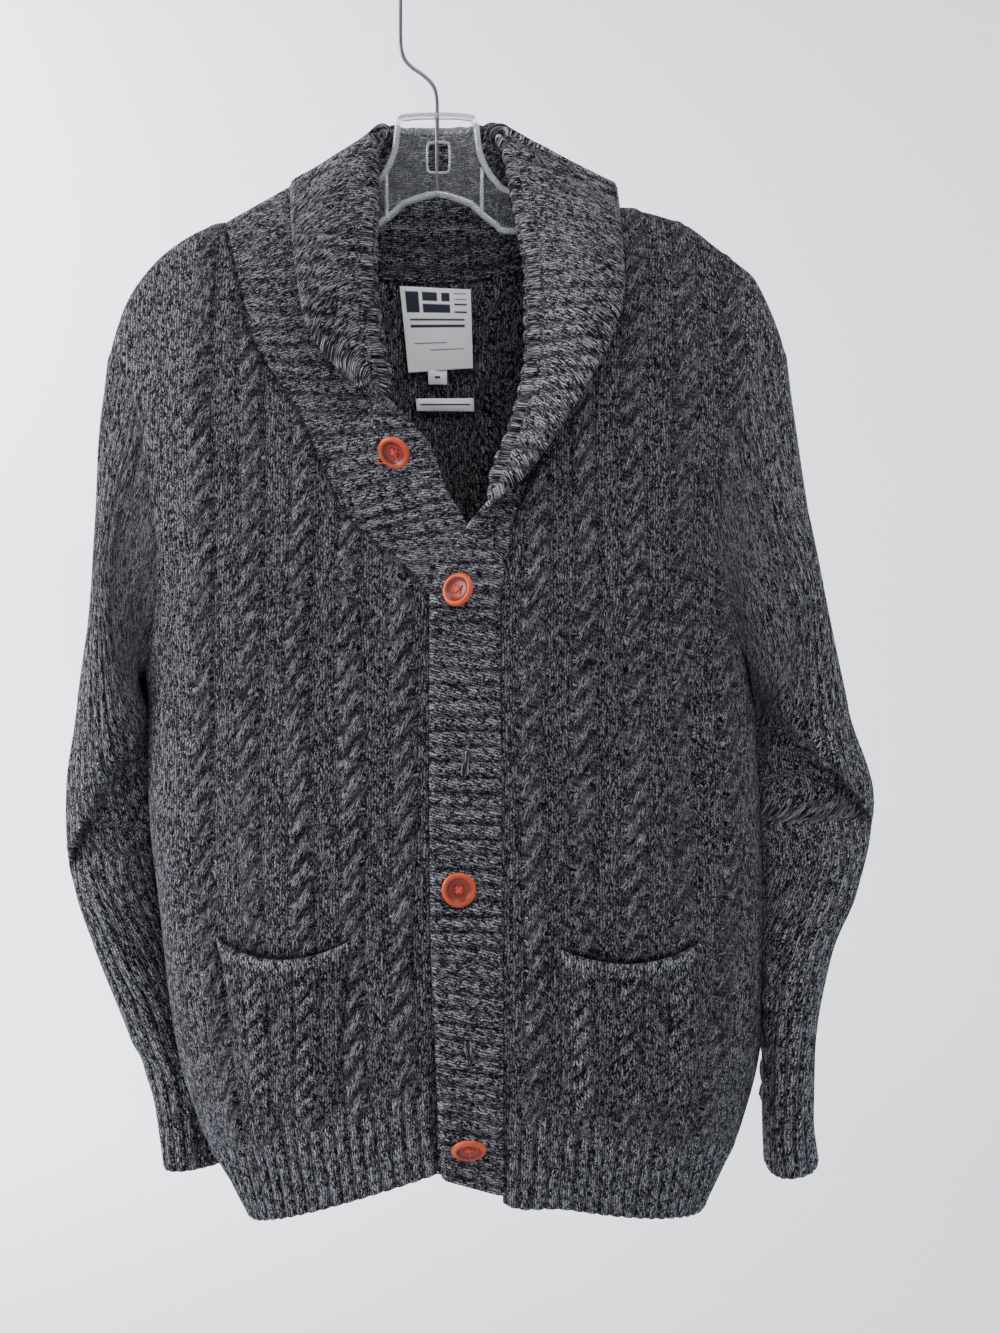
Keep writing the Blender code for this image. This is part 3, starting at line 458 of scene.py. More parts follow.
def sleeveRows(table, panel, downs, spots):
    front, back = armhole(panel, spots)
    loop = np.concatenate([front, back[-2:0:-1]])
    middle = (loop[0] + loop[len(front) - 1]) / 2
    reach = (loop[0] - loop[len(front) - 1]) / 2
    lean = ((loop - middle) @ reach) / (reach @ reach)
    angles = np.arccos(np.clip(lean, -1, 1))
    angles[len(front):] = 2 * pi - angles[len(front):]
    angles[len(front) - 1] = pi
    base = sleeveRing(table, 0.0, angles)
    even = np.linspace(0, 2 * pi, len(angles), endpoint=False)
    rows = []
    for down in downs:
        mix = ramp(down, 0.0, 0.5)
        ring = sleeveRing(table, down, angles * (1 - mix) + even * mix)
        fade = 1 - ramp(down, 0, 0.3)
        ring = ring + (loop - base) * fade
        facing = np.clip(-unit(ring - ring.mean(axis=0))[:, 1], 0, 1)
        if down > 0:
            ring[:, 1] += overhang(table, ring) * ramp(facing, 0.1, 0.6) * ramp(down, 0.05, 0.2)
        rows.append(ring)
    return np.array(rows)


def gridNormals(points):
    # outward normals of a grid, by the difference of neighbours
    return unit(np.cross(np.gradient(points, axis=1), np.gradient(points, axis=0)))

# Stitch patterns, measured across the wales (p) and along them (q), in millimetres.
knit = {
    "wale": 3.8, "course": 2.7,                              # one stitch
    "repeat": 36.0, "firstCable": 23.0, "columns": 5,        # cable and plain column, from the band outwards
    "cableWide": 15.0, "cableRise": 4.2, "twist": 18.5, "cross": 0.42,
    "stagger": 7.0, "strong": 0.92, "uneven": 0.12, "fade": 0.25,   # how cables differ from each other
    "sway": 2.2,                                             # how far the columns wander sideways
    "plainWide": 17.0, "plainRise": 0.5, "waleRise": 0.4, "ground": 1.4,
    "ribPitch": 10.6, "ribRise": 3.0, "hemDeep": 58.0, "cuffDeep": 47.0, "cuffPitch": 8.2, "cuffRise": 2.4,
    "sleevePitch": 9.3, "sleeveRibs": 64.0, "sleeveRise": 2.4,
    "sleeveCable": 72.0, "sleeveCableWide": 12.0, "sleeveTwist": 17.0,
    "bandPitch": 10.7, "collarPitch": 13.4, "collarRise": 3.6, "neckPitch": 5.2,
    "edgeRound": 1.5,                                        # how much a free edge rounds off
}


def ribWave(p, pitch):
    # round ribs with narrow furrows between them
    return np.abs(np.cos(pi * p / pitch)) ** 0.6


def ropeCable(away, q, wide, twist, lean):
    # strands that cross over each other, as a row of slanting lumps, from 0 to 1
    x = np.clip(2 * away / wide, -1, 1)
    turn = q / twist - lean * knit["cross"] * np.sin(pi / 2 * x)
    lump = np.abs(np.sin(pi * turn)) ** 0.8
    dome = np.sqrt(np.clip(1 - x ** 4, 0, 1))
    slant = -0.5 * lean * twist * (turn - np.floor(turn) - 0.5) * (dome > 0)
    return dome, lump, slant


def bodyPattern(p, q, fromHem, lean=1, centred=False):
    # cables and plain columns by turns, then smooth sides, over a ribbed hem: height, tone and slant; the tone is
    # painted shade, light on cable lumps and on wale and rib crests, dark in the grooves between
    step = knit["repeat"]
    p = p + knit["sway"] * np.sin(q / 52 + p / 38)
    near = np.abs(p) if centred else p - knit["firstCable"]
    index = np.clip(np.round(near / step), 0, knit["columns"] - 1)
    away = near - index * step
    dome, lump, slant = ropeCable(away, q + knit["stagger"] * index, knit["cableWide"], knit["twist"], lean)
    strength = knit["strong"] + knit["uneven"] * np.sin(q / 41 + 2.6 * index)
    dome = dome * (strength - knit["fade"] * ramp(index, 1.5, 3.5))
    between = near - step / 2
    beside = between - np.clip(np.round(between / step), -1, knit["columns"] - 2) * step
    plain = ramp(knit["plainWide"] / 2 - np.abs(beside), -0.8, 2.6)
    wales = np.abs(np.cos(pi * beside / knit["wale"])) ** 0.7
    side = ramp(near, step * (knit["columns"] - 0.9), step * (knit["columns"] - 0.7))
    cable = knit["cableRise"] * dome * (0.08 + 0.92 * lump)
    body = knit["ground"] + np.maximum(cable, plain * (knit["plainRise"] + knit["waleRise"] * wales))
    body = body * (1 - side) + (knit["ground"] + knit["plainRise"] + knit["waleRise"] * wales) * side
    # painted shade: the tone is high on the lumps and wales and low in the grooves
    bodyTone = 0.4 + dome * (1.0 * lump - 0.4) + plain * (0.04 + 0.14 * wales)
    bodyTone = bodyTone * (1 - side) + 0.66 * side
    rib = ribWave(p, knit["ribPitch"])
    mix = ramp(fromHem, knit["hemDeep"] - 5, knit["hemDeep"] + 3)
    high = rib * knit["ribRise"] * (1 - mix) + body * mix
    tone = (0.05 + 0.95 * rib) * (1 - mix) + bodyTone * mix
    return high, tone, slant * (1 - side) * (mix > 0.5)


def sleevePattern(p, q, fromCuff):
    # ribs over the outer half with one cable each side of them, smooth under the arm; the tone is painted shade, dark
    # in the furrows between ribs and cable lumps
    ribs = ribWave(p, knit["sleevePitch"])
    off = np.abs(p)
    dome, lump, _ = ropeCable(off - knit["sleeveCable"], q, knit["sleeveCableWide"], knit["sleeveTwist"], 1)
    inner = ramp(off, knit["sleeveRibs"] - 2, knit["sleeveRibs"])
    outer = ramp(off, knit["sleeveCable"] + 7, knit["sleeveCable"] + 10)
    wales = np.abs(np.cos(pi * p / knit["wale"])) ** 0.7
    cable = knit["ground"] + knit["cableRise"] * 0.8 * dome * (0.12 + 0.88 * lump)
    under = knit["ground"] + knit["plainRise"] + knit["waleRise"] * wales
    body = ribs * knit["sleeveRise"] * (1 - inner) + cable * inner * (1 - outer) + under * outer
    tone = (0.18 + 0.82 * ribs) * (1 - inner) + 0.7 * outer
    tone = tone + (0.5 + dome * (0.6 * lump - 0.2)) * inner * (1 - outer)
    cuff = ribWave(p, knit["cuffPitch"])
    mix = ramp(fromCuff, knit["cuffDeep"] - 4, knit["cuffDeep"] + 3)
    return cuff * knit["cuffRise"] * (1 - mix) + body * mix, (0.1 + 0.9 * cuff) * (1 - mix) + tone * mix


# Folds seen and alike ones out of sight: from, to, half width and height (a trough is negative).
folds = {
    "front_left": [
        (-160, -560, -142, -800, 20, -6.5), (-196, -560, -180, -850, 12, 3.6),
        (-150, -470, -92, -520, 14, 2.4), (-120, -560, -60, -700, 18, -2.6),
        (-60, -640, -20, -800, 16, 2.4), (-175, -840, -120, -880, 10, -2.4),
        (-196, -470, -150, -420, 12, -2.6), (-70, -690, -100, -560, 12, 2.6),
    ],
    "front_right": [
        (184, -500, 178, -690, 11, -7.0), (205, -520, 200, -720, 12, 4.2),
        (150, -470, 185, -520, 13, -2.6), (120, -560, 90, -700, 18, -2.0),
        (205, -760, 150, -850, 14, -2.4), (160, -600, 140, -700, 14, 1.8),
    ],
    "back": [
        (-150, -470, -60, -560, 20, -3.2), (150, -470, 70, -580, 18, -3.0),
        (-40, -300, -70, -420, 22, 2.4), (60, -320, 80, -430, 20, 2.2), (-160, -650, -90, -780, 18, -3.0),
        (40, -620, 110, -760, 20, -2.6), (-20, -700, 10, -860, 16, 2.4), (170, -600, 150, -720, 14, 2.2),
    ],
    "sleeve_left": [
        (-250, -600, -236, -640, 6, -4.0), (-226, -560, -250, -616, 9, 3.4),
        (-262, -560, -258, -640, 10, -2.2), (-240, -700, -215, -740, 9, -3.0),
        (-230, -760, -200, -790, 8, -2.6), (-232, -812, -206, -826, 6, -2.4),
    ],
    "sleeve_right": [
        (232, -520, 268, -560, 8, 3.6), (262, -566, 292, -592, 9, 3.2), (300, -560, 306, -640, 10, -2.4),
        (250, -640, 286, -700, 10, -3.0), (296, -668, 262, -716, 9, -2.8),
        (284, -800, 284, -868, 2.6, -4.2), (258, -760, 268, -840, 8, 1.6),
    ],
}


def segmentGap(x, z, x0, z0, x1, z1):
    wayX, wayZ = x1 - x0, z1 - z0
    spot = np.clip(((x - x0) * wayX + (z - z0) * wayZ) / (wayX ** 2 + wayZ ** 2), 0, 1)
    return np.hypot(x - x0 - spot * wayX, z - z0 - spot * wayZ), spot


def foldRelief(points, name):
    rise = np.zeros(points.shape[:2])
    for x0, z0, x1, z1, wide, high in folds[name]:
        gap, spot = segmentGap(points[..., 0], points[..., 2], x0, z0, x1, z1)
        rise += high * np.exp(-(gap / wide) ** 2) * (0.45 + 0.55 * np.sin(pi * spot))
    return rise


def runLength(points, axis):
    # distance along the grid lines, starting from the first row or column
    step = np.linalg.norm(np.diff(points, axis=axis), axis=-1)
    start = np.zeros_like(np.take(step, [0], axis=axis))
    return np.concatenate([start, np.cumsum(step, axis=axis)], axis=axis)


def shellObject(name, layers, wrap=False):
    # two grids, the face and the reverse of the cloth, joined all round their edges
    bm = bmesh.new()
    stitch = bm.verts.layers.float_vector.new("stitch")
    shadeAndInk = bm.verts.layers.float.new("shadeAndInk")
    loops = []
    for points, coords, tone in layers:
        rows, cols = points.shape[0] - 1, points.shape[1] - 1
        made = bmesh.ops.create_grid(bm, x_segments=cols, y_segments=rows, size=0.5)["verts"]
        for vert in made:
            i = round((vert.co.y + 0.5) * rows)
            j = round((vert.co.x + 0.5) * cols)
            vert.co = points[i, j] * mm
            vert[stitch] = coords[i, j]
            # the tone goes to the vertex attribute: painted groove shade on the knit, the woven figures on a label
            vert[shadeAndInk] = tone[i, j]
        if wrap:
            ends = [v for v in made if v.is_boundary]
            bmesh.ops.remove_doubles(bm, verts=ends, dist=1e-7)
            made = [v for v in made if v.is_valid]
        rim = {e for v in made for e in v.link_edges if e.is_boundary}
        loops.append(splitLoops(rim) if wrap else [list(rim)])
    for first, second in zip(*loops):
        bmesh.ops.bridge_loops(bm, edges=first + second)
    bmesh.ops.recalc_face_normals(bm, faces=bm.faces)
    for face in bm.faces:
        face.smooth = True
    return meshObject(name, bm)


def splitLoops(edges):
    # the rims of a tube, upper one first
    left = set(edges)
    loops = []
    while left:
        stack = [left.pop()]
        loop = list(stack)
        while stack:
            for vert in stack.pop().verts:
                for edge in vert.link_edges:
                    if edge in left:
                        left.remove(edge)
                        stack.append(edge)
                        loop.append(edge)
        loops.append(loop)
    return sorted(loops, key=lambda loop: -max(v.co.z for e in loop for v in e.verts))


def drawnIn(points, gaps):
    # the border pulled back from the seams: first row, last row, first column, last column
    inner = points.copy()
    for place, beside, gap in ((0, 1, gaps[0]), (-1, -2, gaps[1])):
        inner[place] += unit(points[beside] - points[place]) * gap
    for place, beside, gap in ((0, 1, gaps[2]), (-1, -2, gaps[3])):
        inner[:, place] += unit(points[:, beside] - points[:, place]) * gap
    return inner


def freeEdge(distance):
    return -knit["edgeRound"] * np.exp(-(distance / 1.6) ** 2)


def seamDip(distance, wide):
    # 1 on a seam line, fading out beside it
    return np.exp(-(distance / wide) ** 2)


def pocketMask(x, z):
    # 1 on the open front, 0 where a pocket lies on it, fading in over the 5 mm above its mouth; it flattens the knit
    # there and, through the front's tone, paints shade in the pocket's opening
    mask = np.ones_like(x)
    for a, b, c, d, sag, gape in pockets.values():
        share = np.clip((a[1] - z) / (a[1] - c[1]), 0, 1)
        left = a[0] + (c[0] - a[0]) * share
        right = b[0] + (d[0] - b[0]) * share
        sagging = sag * np.sin(pi * np.clip((x - left) / (right - left), 0, 1)) ** 0.8
        inside = ramp(x, left - 1, left + 3) * ramp(-x, -right - 1, -right + 3)
        foot = min(c[1], d[1])
        inside = inside * ramp(a[1] - sagging + 5 - z, 0, 5) * ramp(z, foot + 4, foot + 14)
        mask = np.minimum(mask, 1 - inside)
    return mask


patch = {
    "gape": 4.5, "welt": 1.6,               # how far the mouth stands open, and how thick its edge rolls
    "footDrop": 9.0, "footFade": 16.0,      # the foot runs on behind the top of the hem rib
    "twist": 14.0,
}

# Columns and rows of each face; a collar has its leaf, its turn and its rows.
detail = {
    "front": (150, 300), "back": (240, 200), "sleeve": (190, 260), "collar": (27, 10, 640),
    "pocket": (76, 84), "pocketStep": 4,
    "inner": 0.22,          # how much coarser the reverse is
}


def frontLayer(name, table, cols, rows):
    across, up = np.meshgrid(np.linspace(0, 1, cols + 1), np.linspace(0, 1, rows + 1))
    points = frontPoint(table, across, up)
    normals = gridNormals(points)
    normals = normals * (-1 if normals[: rows // 2, :, 1].mean() > 0 else 1)
    level = points * np.array([1, 1, 0])
    fromBand = runLength(level[:, ::-1], 1)[:, ::-1]
    offset = np.abs(points[:, -1:, 0] - smooth(table, "up", "inX", 0.3))
    gather = 0.86 + 0.14 * ramp(up, 0.0, 0.28)
    p = (fromBand + offset) / gather
    q = runLength(points, 0)
    high, tone, slant = bodyPattern(p, points[..., 2], q, -1 if name == "front_left" else 1)
    fromSide = runLength(points, 1)
    sideDip, bandDip = seamDip(fromSide, 3.5), seamDip(fromBand, 2.6)
    under = pocketMask(points[..., 0], points[..., 2])
    high = high * (1 - 0.6 * sideDip) * (1 - 0.8 * bandDip) * under
    high = high * (0.5 + 0.5 * ramp((1 - up) * 300, 0, 9))
    # painted shade: the tone darkens in the side seam below the underarm, in the band seam, and towards the furrow
    # colour behind and just above each pocket's mouth
    tone = tone * (1 - 0.25 * sideDip * (up < cut["underarm"])) * (1 - 0.7 * bandDip) * under
    calm = ramp(fromBand, 0, 30) * (1 - sideDip)
    lifted = high + freeEdge(q) + foldRelief(points, name) * calm
    if name == "front_right":
        sag = np.exp(-((fromBand - 8) / 22) ** 2) * ramp(-up, -0.06, 0)
        points = points - np.array([0, 0, 7.0]) * sag[..., None]
    coords = np.stack([p + slant, q, np.zeros_like(p)], axis=-1)
    return points, normals, coords, tone, lifted


def backLayer(cols, rows):
    across, up = np.meshgrid(np.linspace(0, 1, cols + 1), np.linspace(0, 1, rows + 1))
    across = (across + 0.35 * np.sin(2 * pi * across) / (2 * pi))
    points = backPoint(across, up)
    normals = gridNormals(points)
    normals = normals * (-1 if normals[..., 1].mean() < 0 else 1)
    flat = points * np.array([1, 1, 0])
    run = runLength(flat, 1)
    middle = run[:, cols // 2: cols // 2 + 1]
    gather = 0.9 + 0.1 * ramp(up, 0.0, 0.28)
    p = (run - middle) / gather
    q = runLength(points, 0)
    high, tone, slant = bodyPattern(p, points[..., 2], q, 1, True)
    sides = seamDip(runLength(points, 1), 3.5) + seamDip(runLength(points[:, ::-1], 1)[:, ::-1], 3.5)
    high = high * (1 - 0.6 * sides) * (0.5 + 0.5 * ramp((1 - up) * 300, 2, 16))
    lifted = high + freeEdge(q) + foldRelief(points, "back") * (1 - sides)
    coords = np.stack([p + slant, q, np.zeros_like(p)], axis=-1)
    # painted shade: the tone darkens along the side seam grooves
    return points, normals, coords, tone * (1 - 0.25 * sides), lifted


# How far the inner side of each sleeve leans on the body, by height.
leanOn = {
    "sleeve_left": (("z", "by"), (-660, 0), (-620, 5), (-560, 5), (-535, 0)),
    "sleeve_right": (("z", "by"), (-790, 0), (-740, -6), (-610, -7), (-575, -4), (-545, -4), (-520, 0)),
}


def touchBody(rings, name):
    middle = rings[..., 0].mean(axis=1, keepdims=True)
    inward = (rings[..., 0] - middle) * (1 if name == "sleeve_left" else -1)
    shift = smooth(leanOn[name], "z", "by", rings[..., 2]) * ramp(inward, 0, 22)
    return rings + np.stack([shift, 0 * shift, 0 * shift], axis=-1)


def sleeveLayer(name, table, panel, cols, rows):
    half = cols // 2
    downs = np.linspace(0, 1, rows + 1)
    rings = sleeveRows(table, panel, downs, np.linspace(0, 1, half + 1))
    rings = np.concatenate([rings[:, half:], rings[:, :half], rings[:, half:half + 1]], axis=1)
    rings = touchBody(rings, name)
    normals = unit(np.cross(np.gradient(rings, axis=1), np.gradient(rings, axis=0)))
    wrapFirst = unit(np.cross(rings[:, 1] - rings[:, -2], np.gradient(rings[:, 0], axis=0)))
    normals[:, 0] = wrapFirst
    normals[:, -1] = wrapFirst
    centre = rings.mean(axis=1, keepdims=True)
    normals = normals * (-1 if (normals * (rings - centre)).sum() < 0 else 1)
    run = runLength(rings, 1)
    topLine = run[:, cols - half: cols - half + 1]
    p = run - topLine
    down = runLength(rings, 0)
    q = -0.4 * down - 0.6 * down.mean(axis=1, keepdims=True)
    fromCuff = runLength(rings[::-1], 0)[::-1]
    high, tone = sleevePattern(p, q, fromCuff)
    seam = seamDip(down, 4.0)
    facing = ramp(-normals[..., 1], -0.2, 0.3)
    lifted = high * (1 - 0.6 * seam) + freeEdge(fromCuff) + foldRelief(rings, name) * facing * (1 - seam)
    coords = np.stack([p, q, np.zeros_like(p)], axis=-1)
    return rings, normals, coords, tone, lifted


def collarLayer(table, leaf, turn, rows):
    below = rows * 3 // 4
    stations = np.concatenate([np.linspace(0, 1, below + 1)[:-1], np.linspace(1, 2, rows - below + 1)])
    points = collarRows(table, stations, leaf, turn)
    normals = gridNormals(points)
    normals = normals * (-1 if normals[: rows // 3, :, 1].mean() > 0 else 1)
    middle = points[:, points.shape[1] // 2: points.shape[1] // 2 + 1]
    s = runLength(middle, 0)
    q = runLength(points, 1)
    at = stations[:, None]
    pitch = knit["bandPitch"] + (knit["collarPitch"] - knit["bandPitch"]) * ramp(at, 0.55, 0.8)
    turns = np.concatenate([[[0]], np.cumsum(np.diff(s, axis=0) / pitch[1:], axis=0)])
    rise = knit["collarRise"] * (0.85 - 0.2 * ramp(at, 0.5, 0.7))
    wave = ribWave(turns * pitch, pitch) * np.ones_like(q)
    width = q[:, -1:]
    border = 0.4 + 0.6 * np.minimum(ramp(q, 0, 4), ramp(width - q, 0.5, 4))
    high = wave * rise * border
    # painted shade: the tone is dark in the furrows between the ribs, and between the cross ridges inside the back of
    # the neck
    tone = 0.12 + 0.88 * wave
    showing = ramp(at, 0.57, 0.62) if table is collarLeft else 1.0
    # inside the back of the neck the knit lies the other way round, in fine cross ridges
    crossed = (at > 1.2) & (np.arange(q.shape[1]) <= leaf + turn // 2)[None]
    ridges = ribWave(q, knit["neckPitch"])
    high = np.where(crossed, ridges * 1.1, high)
    tone = np.where(crossed, 0.15 + 0.6 * ridges, tone)
    lifted = (high + freeEdge(width - q)) * showing
    along = runLength(points, 0)
    coords = np.stack([np.where(crossed, q, along), np.where(crossed, along, q), 0 * q], axis=-1)
    return points, normals, coords, tone, lifted, at


def outerAndInner(layer, coarse, gaps):
    points, normals, coords, tone, lifted = layer
    face = drawnIn(points, gaps) + normals * lifted[..., None]
    under, underNormals, underCoords, underTone, _ = coarse
    reverse = drawnIn(under, gaps) - underNormals * cut["cloth"]
    # the reverse carries a flattened copy of the painted groove shade
    return [(face, coords, tone), (reverse, underCoords, 0.4 + 0.3 * underTone)]


def makeFronts():
    cols, rows = detail["front"]
    lap = -cut["seamLap"]
    made = {}
    for name, table in (("front_left", frontLeft), ("front_right", frontRight)):
        fine = frontLayer(name, table, cols, rows)
        coarse = frontLayer(name, table, round(cols * detail["inner"]), round(rows * detail["inner"]))
        made[name] = shellObject(name + "_knit", outerAndInner(fine, coarse, (0, lap, lap, lap)))
    return made


def makeBack():
    cols, rows = detail["back"]
    lap = -cut["seamLap"]
    coarse = backLayer(round(cols * detail["inner"] / 2) * 2, round(rows * detail["inner"]))
    return shellObject("back_knit", outerAndInner(backLayer(cols, rows), coarse, (0, lap, lap, lap)))


def makeSleeves():
    cols, rows = detail["sleeve"]
    made = {}
    fewCols, fewRows = round(cols * detail["inner"] / 2) * 2, round(rows * detail["inner"])
    sides = (("sleeve_left", sleeveLeft, frontLeft), ("sleeve_right", sleeveRight, frontRight))
    for name, table, panel in sides:
        fine = sleeveLayer(name, table, panel, cols, rows)
        coarse = sleeveLayer(name, table, panel, fewCols, fewRows)
        layers = outerAndInner(fine, coarse, (-cut["seamLap"], 0, 0, 0))
        made[name] = shellObject(name + "_knit", layers, True)
    return made


def makeCollars():
    leaf, turn, rows = detail["collar"]
    lap = -cut["seamLap"]
    made = {}
    for name, table in (("collar_band_left", collarLeft), ("collar_band_right", collarRight)):
        points, normals, coords, tone, lifted, at = collarLayer(table, leaf, turn, rows)
        base = drawnIn(points, (0, lap, lap, 0))
        turned = ramp(at, 0.62, 0.72) if table is collarLeft else ramp(at, 0.6, 0.68)
        face = base + normals * (lifted * (1 - 0.8 * turned))[..., None]
        reverse = base - normals * (cut["cloth"] + lifted * turned)[..., None]
        made[name] = shellObject(name + "_knit", [(face, coords, tone), (reverse, coords, tone)])
    return made


def makePockets():
    cols, rows = detail["pocket"]
    made = {}
    for name, (a, b, c, d, sag, gape) in pockets.items():
        panel = frontLeft if name.endswith("left") else frontRight
        u, v = np.meshgrid(np.linspace(0, 1, cols + 1), np.linspace(0, 1, rows + 1))
        x = (a[0] * (1 - u) + b[0] * u) * (1 - v) + (c[0] * (1 - u) + d[0] * u) * v
        z = (a[1] * (1 - u) + b[1] * u) * (1 - v) + (c[1] * (1 - u) + d[1] * u) * v
        z = z - sag * np.sin(pi * u) ** 0.8 * (1 - v) ** 2 - patch["footDrop"] * v ** 3
        up = np.interp(z, column(panel, "outZ"), column(panel, "up"))
        depth = bodyDepth(x, z, "front") + bandRise(panel, x, z, up)
        points = np.stack([x, -depth, z], axis=-1)
        normals = gridNormals(points)
        normals = normals * (-1 if normals[..., 1].mean() > 0 else 1)
        fromMouth = runLength(points, 0)
        fromFoot = runLength(points[::-1], 0)[::-1]
        side = np.minimum(runLength(points, 1), runLength(points[:, ::-1], 1)[:, ::-1])
        stand = cut["cloth"] + 1.2 + (gape + patch["gape"]) * np.sin(pi * u) * (1 - v) ** 2.5
        stand = stand * (0.35 + 0.65 * ramp(side, 0, 7)) * ramp(fromFoot, -4, patch["footFade"]) - 1.5
        p = np.abs(x - smooth(panel, "up", "inX", 0.3)) * 1.06
        lean = -1 if name.endswith("left") else 1
        body, tone, _ = bodyPattern(p, z * knit["twist"] / patch["twist"], np.full_like(z, 999.0), lean)
        welt = np.exp(-(((fromMouth - 4.5) / 4.5) ** 4))
        high = body * (1 - welt) + (1.6 + 0.5 * ribWave(p, 5.3)) * welt
        high = high * (0.55 + 0.45 * ramp(side, 0, 4)) * ramp(fromFoot, 0, 8)
        # painted shade: the tone darkens over the last 3 mm of the pocket's sides, and the rolled welt stays light
        tone = (tone * (1 - welt) + 0.95 * welt) * (0.7 + 0.3 * ramp(side, 0, 3))
        lifted = stand + high + patch["welt"] * welt * ramp(side, 0, 10) + freeEdge(fromMouth)
        coords = np.stack([p, z, np.zeros_like(p)], axis=-1)
        face = points + normals * lifted[..., None]
        reverse = points + normals * (stand - cut["cloth"])[..., None]
        step = detail["pocketStep"]
        # painted shade: the pocket's reverse, seen in its open mouth, takes a darker tone
        back = (reverse[::step, ::step], coords[::step, ::step], tone[::step, ::step] * 0.4)
        made[name] = shellObject(name + "_knit", [(face, coords, tone), back])
    return made


def linear(code):
    # an sRGB hex colour as linear light
    parts = [int(code[i:i + 2], 16) / 255 for i in (1, 3, 5)]
    return tuple(c / 12.92 if c <= 0.04045 else ((c + 0.055) / 1.055) ** 2.4 for c in parts) + (1,)


def newMaterial(name):
    material = bpy.data.materials.new(name)
    material.use_nodes = True
    tree = material.node_tree
    return material, tree, tree.nodes["Principled BSDF"]


def addNode(tree, kind, inputs=None, **settings):
    # one node with its settings and links; a link is a socket, anything else is a value
    node = tree.nodes.new(kind)
    for key, value in settings.items():
        setattr(node, key, value)
    for key, value in (inputs or {}).items():
        socket = node.inputs[key]
        if isinstance(value, bpy.types.NodeSocket):
            tree.links.new(value, socket)
        else:
            socket.default_value = value
    return node


wool = {
    # furrow is the near-black that the knit's grooves are darkened to: painted shade
    "dark": "#08080d", "light": "#b0afb8", "furrow": "#040407",
    "legSlope": 1.45,                        # how steeply the two legs of a stitch lean
    "flecks": 3.1, "along": 2.1,             # how fine the marl is across and along a leg
    "uneven": 0.2,                           # how much whole legs differ
    "from": 0.455, "to": 0.64,               # where a strand turns from dark to pale
    "mottle": 0.2, "clump": 0.24,           # how far tufts of a few stitches differ, and how many to a millimetre
    "gap": 0.06,                             # how much light is left between two legs
    "furrowShare": 0.9,                      # how far the deepest knit is darkened towards the furrow colour: painted shade
    "bump": 0.7,
}


